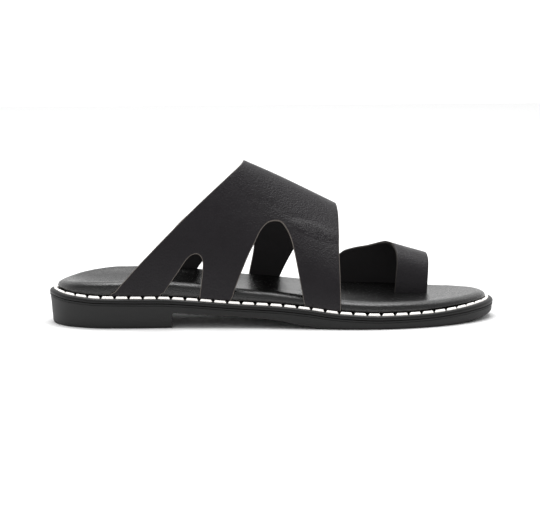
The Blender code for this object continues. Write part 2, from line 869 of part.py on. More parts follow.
def loop_sheet():
    """The arch over the big toe, from the footbed's slot to its medial edge."""
    medial = inset_halves(FOOTBED_INSET - CLEARANCE, 1)
    front = LOOP_SLOT_REAR + LOOP_WIDTH_AT_SLOT

    def foot_y(x, side):
        if side < 0:
            return LOOP_SLOT_ACROSS
        return float(np.interp(x, medial[:, 0], medial[:, 1]))

    def crest(x):
        share = (x - LOOP_SLOT_REAR) / (front - LOOP_SLOT_REAR)
        z = LOOP_REAR_HEIGHT + share * (LOOP_FRONT_HEIGHT - LOOP_REAR_HEIGHT)
        return LOOP_CREST_ACROSS, z - LEATHER

    return Leather(foot_y, crest, lambda side: -side, LOOP_PEAK)


def build_toe_loop(collection, material):
    """The toe loop: up through the footbed's slot, over the big toe and under the medial edge."""
    sheet = loop_sheet()
    height = LOOP_REAR_HEIGHT
    rear_up = sheet.edge_line(LOOP_REAR_INNER, height, -1)
    rear_down = sheet.edge_line(LOOP_REAR_OUTER, height, 1)
    front_down = sheet.edge_line(LOOP_FRONT_INNER, height, -1)[::-1]
    front_up = sheet.edge_line(LOOP_FRONT_OUTER, height, 1)[::-1]
    loop = joined_edges(
        sheet,
        [
            leg(sheet, rear_down, front_up, 1),
            leg(sheet, front_down, rear_up, -1),
        ],
    )
    return cut_leather("toe_loop", sheet, loop, collection, material)


def pocket(name, sheet, start, end, side, collection):
    """A cutter round one folded tab, open at the footbed's side and underneath."""
    points, faces = [], []
    stations = np.linspace(start - TAB_ROOM, end + TAB_ROOM, 7)
    inward = sheet.fold_direction(side)
    for x in stations:
        outer = sheet.foot_y(x, side) - inward * (CLEARANCE + LEATHER)
        inner = sheet.foot_y(x, side) + inward * (FOLD_RADIUS + TAB_LENGTH + TAB_ROOM)
        low = seat_height(x) - CLEARANCE
        high = seat_height(x) + LEATHER + 2 * CLEARANCE
        points += [(x, outer, low), (x, inner, low), (x, inner, high), (x, outer, high)]
    for i in range(len(stations) - 1):
        a, b = 4 * i, 4 * i + 4
        faces += [(a + j, a + (j + 1) % 4, b + (j + 1) % 4, b + j) for j in range(4)]
    last = 4 * (len(stations) - 1)
    faces += [(3, 2, 1, 0), (last, last + 1, last + 2, last + 3)]
    return new_object(name, mesh_from(points, faces, name), collection)


def build_footbed(collection, cutters, material):
    """The covered footbed, with pockets for the folded leather and the toe loop's slot."""
    bottom = lambda x: seat_height(x) + CLEARANCE
    rim = footbed_rim_height
    edge = FOOTBED_RIM_ROUND
    medial = np.arange(2 * OUTLINE_STEPS) > OUTLINE_STEPS

    def lift(share):
        def height(x):
            arch = value_along(FOOTBED_LINE, 3, x) * ARCH_SUPPORT_RISE * medial
            return bottom(x) + share * (rim(x) + arch - bottom(x))

        return height

    def top_drop(drop):
        def height(x):
            return lift(1)(x) - drop

        return height

    rings = [
        (FOOTBED_INSET + edge * 0.5, lift(0)),
        (FOOTBED_INSET + edge * 0.12, lambda x: bottom(x) + edge * 0.15),
        (FOOTBED_INSET, lambda x: bottom(x) + edge * 0.5),
        (FOOTBED_INSET, top_drop(edge)),
        (FOOTBED_INSET + edge * 0.3, top_drop(edge * 0.3)),
        (FOOTBED_INSET + edge, top_drop(0)),
    ]

    def top(x, share):
        arch = value_along(FOOTBED_LINE, 3, x) * ARCH_SUPPORT_RISE
        cup = value_along(FOOTBED_LINE, 2, x) * HEEL_CUP_DEPTH
        side = max(2 * share - 1, 0)
        return rim(x) + arch * side - cup * (1 - (2 * share - 1) ** 4)

    mesh = stacked_mesh("footbed", rings, lambda x, share: bottom(x), top)
    footbed = new_object("footbed", mesh, collection, material)
    strap, loop = upper_sheet(), loop_sheet()
    folds = (
        # name, sheet, side, rows of the cut edges
        ("lateral", strap, -1, (LATERAL_REAR_EDGE[0], LATERAL_SMALL_CUT[0], LATERAL_SMALL_CUT[-1],
                                LATERAL_LARGE_CUT[0], LATERAL_LARGE_CUT[-1], FRONT_EDGE[-1])),
        ("medial", strap, 1, (MEDIAL_REAR_EDGE[0], MEDIAL_REAR_CUT[0], MEDIAL_REAR_CUT[-1],
                              MEDIAL_FRONT_CUT[0], MEDIAL_FRONT_CUT[-1], FRONT_EDGE[-1])),
        ("loop_inner", loop, -1, (LOOP_REAR_INNER[0], LOOP_FRONT_INNER[0])),
        ("loop_outer", loop, 1, (LOOP_REAR_OUTER[-1], LOOP_FRONT_OUTER[-1])),
    )
    for name, sheet, side, ends in folds:
        at = sorted(row[0] * SOLE_LENGTH for row in ends)
        for index, (start, end) in enumerate(zip(at[0::2], at[1::2])):
            cut(footbed, pocket(f"pocket_{name}_{index}", sheet, start, end, side, cutters))
    slot_front = LOOP_FRONT_INNER[0][0] * SOLE_LENGTH
    slot_rear = LOOP_REAR_INNER[0][0] * SOLE_LENGTH
    top_of_slot = footbed_rim_height(slot_rear) + LEATHER
    slot = box_cutter(
        "loop_slot",
        (slot_rear - TAB_ROOM, LOOP_SLOT_ACROSS - LEATHER - CLEARANCE, 0),
        (slot_front + TAB_ROOM, LOOP_SLOT_ACROSS + CLEARANCE, top_of_slot),
        cutters,
    )
    cut(footbed, slot)
    return footbed


def main():
    """Builds every piece of the sandal."""
    for thing in list(bpy.data.objects):
        bpy.data.objects.remove(thing)
    sandal = bpy.data.collections.new("slide_sandal")
    cutters = bpy.data.collections.new("cutters")
    for collection in (sandal, cutters):
        bpy.context.scene.collection.children.link(collection)
    rubber = new_material("black_rubber", (0.030, 0.029, 0.030), 0.60)
    welt_rubber = new_material("black_welt", (0.026, 0.025, 0.026), 0.50)
    strap_leather = new_material("black_strap_leather", (0.022, 0.020, 0.022), 0.48)
    lining = new_material("black_footbed_leather", (0.020, 0.019, 0.020), 0.38)
    build_outsole(sandal, cutters, rubber)
    build_welt(sandal, welt_rubber)
    build_footbed(sandal, cutters, lining)
    build_upper(sandal, strap_leather)
    build_toe_loop(sandal, strap_leather)


if __name__ == "__main__":
    main()
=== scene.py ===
"""The looks of a right-foot black leather slide sandal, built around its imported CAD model.

Metres, in the CAD's frame: +X from heel to toe, +Y to the medial (big toe) side, +Z up.
"""

import logging
import math
from collections.abc import Callable
from dataclasses import dataclass, field
from enum import Enum

import bmesh
import bpy
import numpy as np
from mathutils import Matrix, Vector, noise
from mathutils.geometry import delaunay_2d_cdt


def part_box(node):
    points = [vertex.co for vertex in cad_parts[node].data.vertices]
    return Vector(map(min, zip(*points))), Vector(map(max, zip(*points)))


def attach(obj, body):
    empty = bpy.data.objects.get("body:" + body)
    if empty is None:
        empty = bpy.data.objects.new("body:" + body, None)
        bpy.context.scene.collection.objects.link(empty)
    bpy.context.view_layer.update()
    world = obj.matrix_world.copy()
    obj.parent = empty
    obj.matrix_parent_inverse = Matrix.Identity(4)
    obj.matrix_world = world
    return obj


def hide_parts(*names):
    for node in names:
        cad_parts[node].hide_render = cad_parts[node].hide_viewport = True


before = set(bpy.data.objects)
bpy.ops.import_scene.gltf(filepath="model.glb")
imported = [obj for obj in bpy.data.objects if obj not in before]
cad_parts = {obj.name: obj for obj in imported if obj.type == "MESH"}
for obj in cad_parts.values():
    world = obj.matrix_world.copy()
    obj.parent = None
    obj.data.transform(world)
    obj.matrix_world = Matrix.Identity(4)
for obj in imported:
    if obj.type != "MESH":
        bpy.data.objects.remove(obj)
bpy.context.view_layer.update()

LOG = logging.getLogger("slide_sandal")
MM = 0.001
# Edges sharper than this are shaded as edges where a cutter has been.
SHARP_DEGREES = 38.0
ROOT = "root"

Rows = tuple[tuple[float, ...], ...]
Place = tuple[float, float]
Section = tuple[float | np.ndarray, np.ndarray]
HeightAcross = Callable[[np.ndarray, np.ndarray, np.ndarray], np.ndarray]


class Side(Enum):
    """A side of the foot. Its value is the sign of Y on that side."""

    LATERAL = -1
    MEDIAL = 1


class Face(Enum):
    """Which finish a face of cut leather wears. Its value is the material's place on the mesh."""

    GRAIN = 0
    LINING = 1
    CUT_EDGE = 2


# Lines and surfaces


def smooth_curve(rows: np.ndarray, steps: int) -> np.ndarray:
    """Draws a smooth curve through unevenly spaced points.

    Args:
        rows: The points, one per row.
        steps: How many pieces to make between two of them.

    Returns:
        The points of the curve.
    """
    points = np.vstack([2 * rows[0] - rows[1], rows, 2 * rows[-1] - rows[-2]])
    pieces = [points[1:2]]
    for p0, p1, p2, p3 in zip(points, points[1:], points[2:], points[3:]):
        d01 = math.sqrt(np.linalg.norm(p1 - p0))
        d12 = math.sqrt(np.linalg.norm(p2 - p1))
        d23 = math.sqrt(np.linalg.norm(p3 - p2))
        start = p2 - p1 + d12 * ((p1 - p0) / d01 - (p2 - p0) / (d01 + d12))
        end = p2 - p1 + d12 * ((p3 - p2) / d23 - (p3 - p1) / (d12 + d23))
        t = np.linspace(0, 1, steps + 1)[1:, None]
        pieces.append(
            (2 * t**3 - 3 * t**2 + 1) * p1
            + (t**3 - 2 * t**2 + t) * start
            + (3 * t**2 - 2 * t**3) * p2
            + (t**3 - t**2) * end
        )
    return np.vstack(pieces)


def line_length(points: np.ndarray) -> float:
    """Gives the length of a line of points."""
    return float(np.linalg.norm(np.diff(points, axis=0), axis=1).sum())


def spaced(points: np.ndarray, count: int) -> np.ndarray:
    """Puts count + 1 points at even distances along a line.

    Args:
        points: The line.
        count: How many pieces to make.

    Returns:
        The new points.
    """
    steps = np.linalg.norm(np.diff(points, axis=0), axis=1)
    lengths = np.concatenate([[0], np.cumsum(steps)])
    wanted = np.linspace(0, lengths[-1], count + 1)
    return np.column_stack([np.interp(wanted, lengths, column) for column in points.T])


def hump(distance: float | np.ndarray, width: float) -> float | np.ndarray:
    """Gives a soft hump: 1 at distance 0, fading out over about width."""
    return np.exp(-((distance / width) ** 2))


@dataclass(frozen=True)
class Profile:
    """A smooth line along the sole that never overshoots its rows.

    Each row is a share of the sole's length from its middle, and a value there.
    """

    rows: Rows

    def at(self, along: np.ndarray) -> np.ndarray:
        """Gives the values at shares of the sole's length.

        Args:
            along: The shares.

        Returns:
            The value at each.
        """
        table = np.array(self.rows, float)
        x, y = table[:, 0], table[:, 1]
        step = np.diff(x)
        slope = np.diff(y) / step
        tangent = np.zeros(len(x))
        rising = slope[:-1] * slope[1:] > 0
        before, after = slope[:-1][rising], slope[1:][rising]
        tangent[1:-1][rising] = 2 * before * after / (before + after)
        tangent[0], tangent[-1] = slope[0], slope[-1]
        along = np.clip(along, x[0], x[-1])
        i = np.clip(np.searchsorted(x, along) - 1, 0, len(x) - 2)
        t = (along - x[i]) / step[i]
        return (
            (2 * t**3 - 3 * t**2 + 1) * y[i]
            + (t**3 - 2 * t**2 + t) * step[i] * tangent[i]
            + (3 * t**2 - 2 * t**3) * y[i + 1]
            + (t**3 - t**2) * step[i] * tangent[i + 1]
        )


@dataclass
class MeshDraft:
    """Points and faces on their way to a mesh."""

    points: list[np.ndarray] = field(default_factory=list)
    faces: list[tuple[int, ...]] = field(default_factory=list)
    wears: list[int] = field(default_factory=list)

    def add_points(self, points: np.ndarray) -> int:
        """Adds points and gives the number of the first.

        Args:
            points: The points, one per row.

        Returns:
            The number of the first.
        """
        first = len(self.points)
        self.points.extend(np.asarray(points, float))
        return first

    def add_face(self, corners: tuple[int, ...], wears: int = 0) -> None:
        """Adds a face that wears the material of that number."""
        self.faces.append(corners)
        self.wears.append(wears)

    def bridge(self, first: int, second: int, count: int) -> None:
        """Joins two closed rings of count points with a band of faces.

        Args:
            first: The number of the first ring's first point.
            second: The number of the second ring's first point.
            count: How many points a ring has.
        """
        for i in range(count):
            j = (i + 1) % count
            self.add_face((first + i, first + j, second + j, second + i))

    def tube(self, rings: list[np.ndarray]) -> None:
        """Adds rings of points, joins each to the next one and closes both ends.

        Args:
            rings: The rings, all with as many points.
        """
        count = len(rings[0])
        firsts = [self.add_points(ring) for ring in rings]
        for first, second in zip(firsts, firsts[1:]):
            self.bridge(first, second, count)
        for first in (firsts[0], firsts[-1]):
            self.add_face(tuple(range(first, first + count)))

    def piece(self, name: str, materials: list[bpy.types.Material], turn: bool = True) -> bpy.types.Object:
        """Makes the object.

        Args:
            name: The piece's name.
            materials: Its materials, in the order of the faces' numbers.
            turn: Whether to turn all faces outwards.

        Returns:
            The object, linked to the scene and smooth.
        """
        mesh = bpy.data.meshes.new(name)
        mesh.from_pydata([tuple(p) for p in self.points], [], self.faces)
        for material in materials:
            mesh.materials.append(material)
        mesh.polygons.foreach_set("material_index", self.wears)
        if turn:
            work = bmesh.new()
            work.from_mesh(mesh)
            bmesh.ops.recalc_face_normals(work, faces=work.faces)
            work.to_mesh(mesh)
            work.free()
        thing = bpy.data.objects.new(name, mesh)
        bpy.context.scene.collection.objects.link(thing)
        mesh.shade_smooth()
        return thing


def cut_out(thing: bpy.types.Object, cutters: list[bpy.types.Object]) -> None:
    """Takes cutters out of a piece and removes them.

    Args:
        thing: The piece.
        cutters: Closed meshes, which don't meet each other.
    """
    for cutter in cutters:
        modifier = thing.modifiers.new("cut", "BOOLEAN")
        modifier.operation = "DIFFERENCE"
        modifier.solver = "EXACT"
        modifier.object = cutter
    bpy.context.view_layer.update()
    graph = bpy.context.evaluated_depsgraph_get()
    mesh = bpy.data.meshes.new_from_object(thing.evaluated_get(graph))
    thing.modifiers.clear()
    old, thing.data = thing.data, mesh
    bpy.data.meshes.remove(old)
    for cutter in cutters:
        bpy.data.objects.remove(cutter)
    mesh.set_sharp_from_angle(angle=math.radians(SHARP_DEGREES))


def prism(name: str, side_view: list[Place], half_width: float) -> bpy.types.Object:
    """Makes a cutter with an outline in XZ, run across the shoe.

    Args:
        name: The cutter's name.
        side_view: Its corners as x and z.
        half_width: How far it runs to each side.

    Returns:
        The cutter.
    """
    draft = MeshDraft()
    draft.tube([np.array([(x, y, z) for x, z in side_view]) for y in (-half_width, half_width)])
    return draft.piece(name, [])


# The sole's form


@dataclass
class SoleForm:
    """The plan and the levels of the sole, which every piece stands on."""

    length: float
    ball_width: float
    steps: int = 230
    plan_steps: int = 24
    seat_steps: int = 2400
    clearance: float = 0.3 * MM
    heel_side: float = 14.6 * MM
    forefoot_side: float = 5.0 * MM
    heel_back_rise: float = 2.6 * MM
    toe_spring: float = 5.5 * MM
    welt_thickness: float = 2.9 * MM
    heel_drop: Profile = Profile((
        # along, share
        (-0.400, 1.00), (-0.267, 0.97), (-0.191, 0.85), (-0.095, 0.65), (0.000, 0.53),
        (0.057, 0.39), (0.134, 0.13), (0.229, 0.00), (0.500, 0.00),
    ))
    back_rise: Profile = Profile((
        # along, share
        (-0.500, 1.00), (-0.465, 0.45), (-0.430, 0.20), (-0.400, 0.05), (-0.267, 0.00),
        (0.500, 0.00),
    ))
    groove_spring: Profile = Profile((
        # along, share
        (-0.500, 0.00), (0.229, 0.00), (0.324, 0.05), (0.401, 0.24), (0.458, 0.44),
        (0.500, 0.62),
    ))
    tread_spring: Profile = Profile((
        # along, share
        (-0.500, 0.00), (0.344, 0.00), (0.412, 0.07), (0.450, 0.20), (0.473, 0.35),
        (0.500, 0.65),
    ))
    plan: Rows = (
        # along, across
        (-0.500, -0.005), (-0.475, -0.190), (-0.412, -0.305), (-0.324, -0.337),
        (-0.191, -0.342), (-0.057, -0.379), (0.057, -0.442), (0.172, -0.493), (0.275, -0.482),
        (0.374, -0.396), (0.447, -0.262), (0.489, -0.118), (0.500, 0.020), (0.486, 0.172),
        (0.434, 0.324), (0.336, 0.442), (0.221, 0.500), (0.107, 0.479), (-0.030, 0.379),
        (-0.172, 0.310), (-0.313, 0.318), (-0.412, 0.284), (-0.475, 0.168),
    )

    def __post_init__(self) -> None:
        """Works out the welt's outer edge, from the heel's back by the lateral side to the toe and back."""
        closed = np.array(self.plan + self.plan[:3]) * (self.length, self.ball_width)
        line = smooth_curve(closed, self.plan_steps)[self.plan_steps : -self.plan_steps - 1]
        low, high = line.min(0), line.max(0)
        line = (line - (low + high) / 2) * (self.length, self.ball_width) / (high - low)
        line = np.roll(line, -line[:, 0].argmin(), axis=0)
        toe = line[:, 0].argmax()
        lateral = spaced(line[: toe + 1], self.steps)
        medial = spaced(np.vstack([line[toe:], line[:1]]), self.steps)
        self.edge = np.vstack([lateral[:-1], medial[:-1]])
        tangent = np.roll(self.edge, -1, axis=0) - np.roll(self.edge, 1, axis=0)
        tangent /= np.linalg.norm(tangent, axis=1)[:, None]
        self.inward = np.column_stack([-tangent[:, 1], tangent[:, 0]])
        self.stations = np.linspace(-self.length / 2, self.length / 2, self.seat_steps)
        self.seats = self.seat(self.stations)

    @property
    def count(self) -> int:
        """How many points a ring round the sole has."""
        return 2 * self.steps

    def inset(self, distance: float | np.ndarray) -> np.ndarray:
        """Gives the welt's outer edge moved in by a distance."""
        return self.edge + self.inward * np.reshape(distance, (-1, 1))

    def half(self, distance: float, side: Side) -> np.ndarray:
        """Gives one side of the moved-in edge, from heel to toe.

        Args:
            distance: How far the edge is moved in.
            side: The side of the foot.

        Returns:
            Its points, seen from above.
        """
        ring = self.inset(distance)
        if side is Side.LATERAL:
            return ring[: self.steps + 1]
        return np.vstack([ring[self.steps :], ring[:1]])[::-1]

    def groove(self, x: np.ndarray) -> np.ndarray:
        """Gives the height of the groove between the sole's side and the welt.

        Args:
            x: Places along the sole.

        Returns:
            The height at each.
        """
        along = x / self.length
        return (
            self.forefoot_side
            + self.heel_drop.at(along) * (self.heel_side - self.forefoot_side)
            + self.back_rise.at(along) * self.heel_back_rise
            + self.groove_spring.at(along) * self.toe_spring
        )

    def tread(self, x: np.ndarray) -> np.ndarray:
        """Gives the height of the underside, without the waist's arch."""
        return self.tread_spring.at(x / self.length) * self.toe_spring

    def seat(self, x: np.ndarray) -> np.ndarray:
        """Gives the height of the welt's top, which footbed and straps lie on."""
        return self.groove(x) + self.welt_thickness

    def seat_at(self, x: float) -> float:
        """Gives the seat's height at one place, read from a fine table."""
        return float(np.interp(x, self.stations, self.seats))

    def ring(self, distance: float | np.ndarray, height: np.ndarray) -> np.ndarray:
        """Gives a ring of points in space."""
        flat = self.inset(distance)
        return np.column_stack([flat, height])

    def rings(self, draft: MeshDraft, sections: list[Section], closed: bool = False) -> list[int]:
        """Adds a ring of points for each section and joins them with bands of faces.

        Args:
            draft: The mesh.
            sections: Each ring's distance from the welt's outer edge, and its height.
            closed: Whether to join the last ring to the first.

        Returns:
            The number of each ring's first point.
        """
        firsts = [draft.add_points(self.ring(inset, height)) for inset, height in sections]
        for first, second in zip(firsts, firsts[1:] + firsts[:1] * closed):
            draft.bridge(first, second, self.count)
        return firsts

    def cap(self, draft: MeshDraft, ring: int, columns: int, height: HeightAcross) -> None:
        """Closes a ring with rows of faces from the lateral side to the medial side.

        Args:
            draft: The mesh that holds the ring.
            ring: The number of the ring's first point.
            columns: How many faces a row has.
            height: Gives Z for x, y and the share across.
        """
        rows = []
        share = np.arange(1, columns) / columns
        for step in range(1, self.steps):
            left = draft.points[ring + step]
            right = draft.points[ring + self.count - step]
            inner = left[:2] + share[:, None] * (right[:2] - left[:2])
            z = height(inner[:, 0], inner[:, 1], share)
            first = draft.add_points(np.column_stack([inner, z]))
            middle = list(range(first, first + columns - 1))
            rows.append([ring + step, *middle, ring + self.count - step])
        for low, high in zip(rows, rows[1:]):
            for i in range(columns):
                draft.add_face((low[i], high[i], high[i + 1], low[i + 1]))
        for i in range(columns):
            draft.add_face((ring, rows[0][i], rows[0][i + 1]))
            draft.add_face((ring + self.steps, rows[-1][i + 1], rows[-1][i]))


# Finishes


def linear(colour: str) -> tuple[float, float, float, float]:
    """Turns an sRGB hex value to a linear colour.

    Args:
        colour: The value, such as #1c1b1d.

    Returns:
        Red, green, blue and alpha.
    """
    values = [int(colour[i : i + 2], 16) / 255 for i in (1, 3, 5)]
    low, power = 0.04045, 2.4
    red, green, blue = (v / 12.92 if v <= low else ((v + 0.055) / 1.055) ** power for v in values)
    return red, green, blue, 1.0


def add_node(
    tree: bpy.types.NodeTree, kind: str, inputs: dict | None = None, **settings: object
) -> bpy.types.Node:
    """Adds a node with its settings and links.

    Args:
        tree: The node tree.
        kind: The node's type, such as ShaderNodeBump.
        inputs: Socket name or number to a value, or to the output socket that feeds it.
        **settings: The node's own settings.

    Returns:
        The node.
    """
    node = tree.nodes.new(kind)
    for name, value in settings.items():
        setattr(node, name, value)
    for name, value in (inputs or {}).items():
        if isinstance(value, bpy.types.NodeSocket):
            tree.links.new(value, node.inputs[name])
        else:
            node.inputs[name].default_value = value
    return node


@dataclass(frozen=True)
class Layer:
    """A layer of a surface's texture. Its size is that of one grain, pore, fibre or fold.

    A strength below 1 softens its slopes.
    """

    size_mm: float
    depth_mm: float = 0.0
    detail: float = 2.0
    roughness: float = 0.5
    distortion: float = 0.0
    strength: float = 1.0
    cells: bool = False

    def height(self, tree: bpy.types.NodeTree, place: bpy.types.NodeSocket) -> bpy.types.NodeSocket:
        """Draws the layer.

        Args:
            tree: The material's nodes.
            place: The object's own coordinates.

        Returns:
            The height at each place, from 0 to about 1.
        """
        inputs = {"Vector": place, "Scale": 1 / (self.size_mm * MM)}
        if self.cells:
            return add_node(tree, "ShaderNodeTexVoronoi", inputs, feature="SMOOTH_F1").outputs["Distance"]
        inputs |= {"Detail": self.detail, "Roughness": self.roughness, "Distortion": self.distortion}
        return add_node(tree, "ShaderNodeTexNoise", inputs).outputs[0]


@dataclass(frozen=True)
class Finish:
    """A surface: what it is made of, how light meets it, and its layers of relief.

    The tint layer leads from the low colour to the high one, and where one of them isn't given, the
    finish's own colour stands there. The spread layer varies the roughness.
    """

    name: str
    colour: str
    roughness: float
    specular: float = 0.5
    ior: float = 1.5
    low_colour: str = ""
    high_colour: str = ""
    tint: Layer | None = None
    rough_spread: float = 0.0
    spread: Layer | None = None
    layers: tuple[Layer, ...] = ()

    def material(self) -> bpy.types.Material:
        """Builds the material.

        Returns:
            The material, with its constant values on the shader's own sockets.
        """
        material = bpy.data.materials.new(self.name)
        material.use_nodes = True
        tree = material.node_tree
        shader = tree.nodes["Principled BSDF"]
        constants = {
            "Base Color": linear(self.colour),
            "Roughness": self.roughness,
            "Metallic": 0.0,
            "IOR": self.ior,
            "Specular IOR Level": self.specular,
        }
        for socket, value in constants.items():
            shader.inputs[socket].default_value = value
        self.dress(tree, shader, add_node(tree, "ShaderNodeTexCoord").outputs["Object"])
        return material

    def dress(
        self,
        tree: bpy.types.NodeTree,
        shader: bpy.types.Node,
        place: bpy.types.NodeSocket,
        normal: bpy.types.NodeSocket | None = None,
    ) -> None:
        """Adds what varies over the surface.

        Args:
            tree: The material's nodes.
            shader: Its Principled shader.
            place: The object's own coordinates.
            normal: The surface that the relief is pressed into, where it isn't the plain one.
        """
        if self.tint:
            # The colour mix shares its sockets' names with the number mix, so they are given by number.
            colours = {
                0: self.tint.height(tree, place),
                6: linear(self.low_colour or self.colour),
                7: linear(self.high_colour or self.colour),
            }
            mixed = add_node(tree, "ShaderNodeMix", colours, data_type="RGBA")
            tree.links.new(mixed.outputs[2], shader.inputs["Base Color"])
        if self.spread:
            limits = {
                "Value": self.spread.height(tree, place),
                "From Min": 0.3,
                "From Max": 0.7,
                "To Min": self.roughness - self.rough_spread,
                "To Max": self.roughness + self.rough_spread,
            }
            rough = add_node(tree, "ShaderNodeMapRange", limits)
            tree.links.new(rough.outputs[0], shader.inputs["Roughness"])
        for layer in self.layers:
            press = {"Strength": layer.strength, "Distance": layer.depth_mm * MM}
            press["Height"] = layer.height(tree, place)
            if normal is not None:
                press["Normal"] = normal
            normal = add_node(tree, "ShaderNodeBump", press).outputs[0]
        if normal is not None:
            tree.links.new(normal, shader.inputs["Normal"])


@dataclass(frozen=True)
class SmoothCalf(Finish):
    """Black smooth-grain calf: chrome-tanned, dyed through and pigment-finished under a press.

    The eye gets a soft satin sheen, broken by fine pores and a faint pebble.
    """

    name: str = "smooth_calf"
    colour: str = "#110e11"
    roughness: float = 0.40
    specular: float = 0.27
    # The dye has worn a little lighter in clouds of about an inch.
    high_colour: str = "#181419"
    tint: Layer = Layer(25.0, detail=3.0)
    rough_spread: float = 0.10
    spread: Layer = Layer(7.0, detail=4.0, roughness=0.6, distortion=1.0)
    layers: tuple[Layer, ...] = (
        Layer(7.0, 0.12, detail=4.0, roughness=0.6, distortion=1.0),
        # The grain's cells are 0.6 to 0.9 mm on calf.
        Layer(0.85, 0.18, cells=True),
        # Pores are 0.1 to 0.2 mm. They are drawn at 0.45 mm, so that they show.
        Layer(0.45, 0.12, roughness=0.6),
    )
    # Where the foot bends the strap, the finish has crazed into a band of short fine wrinkles.
    crinkle_at: tuple[float, float, float] = (24.0, -22.0, 54.2)
    crinkle_reach: tuple[float, float, float] = (17.0, 16.0, 4.6)
    crinkle_size: tuple[float, float, float] = (2.2, 1.2, 0.8)
    crinkle_slope: float = 21.0
    crinkle_depth: float = 1.70
    crinkle_gloss: float = 0.30

    def dress(
        self,
        tree: bpy.types.NodeTree,
        shader: bpy.types.Node,
        place: bpy.types.NodeSocket,
        normal: bpy.types.NodeSocket | None = None,
    ) -> None:
        """Adds the band of wrinkles under the other layers, and its gloss.

        Args:
            tree: The material's nodes.
            shader: Its Principled shader.
            place: The object's own coordinates.
            normal: Not used here, since the band comes first.
        """
        turn = (0.0, math.radians(self.crinkle_slope), 0.0)
        centre = Vector(self.crinkle_at) * MM
        within, drawn = (
            add_node(
                tree,
                "ShaderNodeMapping",
                {"Vector": place, "Location": centre, "Rotation": turn, "Scale": Vector(size) * MM},
                vector_type="TEXTURE",
            ).outputs[0]
            for size in (self.crinkle_reach, self.crinkle_size)
        )
        ball = add_node(tree, "ShaderNodeTexGradient", {"Vector": within}, gradient_type="SPHERICAL")
        band = ball.outputs[1]
        wrinkles = {"Vector": drawn, "Scale": 1.0, "Detail": 4.0, "Roughness": 0.6, "Distortion": 0.8}
        lines = add_node(tree, "ShaderNodeTexNoise", wrinkles).outputs[0]
        height = add_node(tree, "ShaderNodeMath", {0: lines, 1: band}, operation="MULTIPLY").outputs[0]
        press = {"Strength": 1.0, "Distance": self.crinkle_depth * MM, "Height": height}
        super().dress(tree, shader, place, add_node(tree, "ShaderNodeBump", press).outputs[0])
        rough = shader.inputs["Roughness"].links[0].from_socket
        polish = {0: band, 1: -self.crinkle_gloss, 2: rough}
        glossy = add_node(tree, "ShaderNodeMath", polish, operation="MULTIPLY_ADD")
        tree.links.new(glossy.outputs[0], shader.inputs["Roughness"])


@dataclass(frozen=True)
class BondedLining(Finish):
    """Black pigskin lining, split and lightly buffed, cemented to the back of the strap.

    The eye gets a matt near-black with no highlight and a short, soft nap.
    """

    name: str = "bonded_pigskin_lining"
    colour: str = "#2a2829"
    roughness: float = 0.82
    specular: float = 0.25
    layers: tuple[Layer, ...] = (Layer(0.5, 0.06, detail=3.0, strength=0.7),)


# Fibre bundles in a cut edge are 0.2 to 0.4 mm. They are drawn at 0.8 mm, so that they show.
FIBRES = Layer(0.8, 0.08, detail=4.0, roughness=0.7, strength=0.8)


@dataclass(frozen=True)
class CutLeatherEdge(Finish):
    """The strap's cut edge: die-cut leather, left unpainted.

    The eye gets a thin grey-brown line of compressed fibres between two black faces.
    """

    name: str = "cut_leather_edge"
    colour: str = "#7b746e"
    low_colour: str = "#36312e"
    roughness: float = 0.75
    specular: float = 0.3
    tint: Layer = FIBRES
    layers: tuple[Layer, ...] = (FIBRES,)


# Lining leather's grain is 0.4 to 0.6 mm. It is drawn at 0.9 mm, so that it shows.
LINING_GRAIN = Layer(0.9, 0.26, detail=3.0, roughness=0.6)


@dataclass(frozen=True)
class FootbedLeather(Finish):
    """Black lining leather drawn over foam and board, with a sprayed resin finish.

    The eye gets a smooth sheen that mirrors a bright room at a low angle, over a fine even grain.
    """

    name: str = "footbed_leather"
    colour: str = "#070707"
    roughness: float = 0.22
    specular: float = 0.58
    rough_spread: float = 0.06
    spread: Layer = LINING_GRAIN
    layers: tuple[Layer, ...] = (Layer(9.0, 0.18), LINING_GRAIN)


@dataclass(frozen=True)
class MouldedRubber(Finish):
    """Black thermoplastic rubber, injection-moulded against a fine spark-eroded mould.

    The eye gets an even charcoal with a broad, weak sheen and a speckle as fine as sand.
    """

    name: str = "moulded_rubber"
    colour: str = "#1a1a1a"
    roughness: float = 0.58
    specular: float = 0.36
    # A spark-eroded speckle is 0.1 to 0.2 mm. It is drawn at 0.45 mm, so that it shows.
    layers: tuple[Layer, ...] = (Layer(0.45, 0.03, roughness=0.7),)


@dataclass(frozen=True)
class StitchCord(Finish):
    """White waxed polyester cord, three strands laid together and pulled tight.

    The eye gets a bright white with a faint warm shade between the strands.
    """

    name: str = "waxed_polyester_cord"
    colour: str = "#fbf8f4"
    roughness: float = 0.55
    specular: float = 0.35
    layers: tuple[Layer, ...] = (Layer(0.25, 0.03, strength=0.5),)
    # A weak emission paints light onto the cord: painted light, which keeps its shaded lower half white.
    painted_glow: float = 0.30

    def material(self) -> bpy.types.Material:
        """Builds the material and its emission, which is painted light on the cord.

        Returns:
            The material.
        """
        material = super().material()
        shader = material.node_tree.nodes["Principled BSDF"]
        # The cord gives off painted light, though it is no lamp, so that it stays white in shade.
        shader.inputs["Emission Color"].default_value = linear(self.colour)
        shader.inputs["Emission Strength"].default_value = self.painted_glow
        return material


@dataclass(frozen=True)
class StudioPaper(Finish):
    """White background paper, matt, which the sandal stands on.

    The eye gets an even white without a highlight.
    """

    name: str = "studio_paper"
    colour: str = "#f7f7f7"
    roughness: float = 0.9
    specular: float = 0.1


# Sole


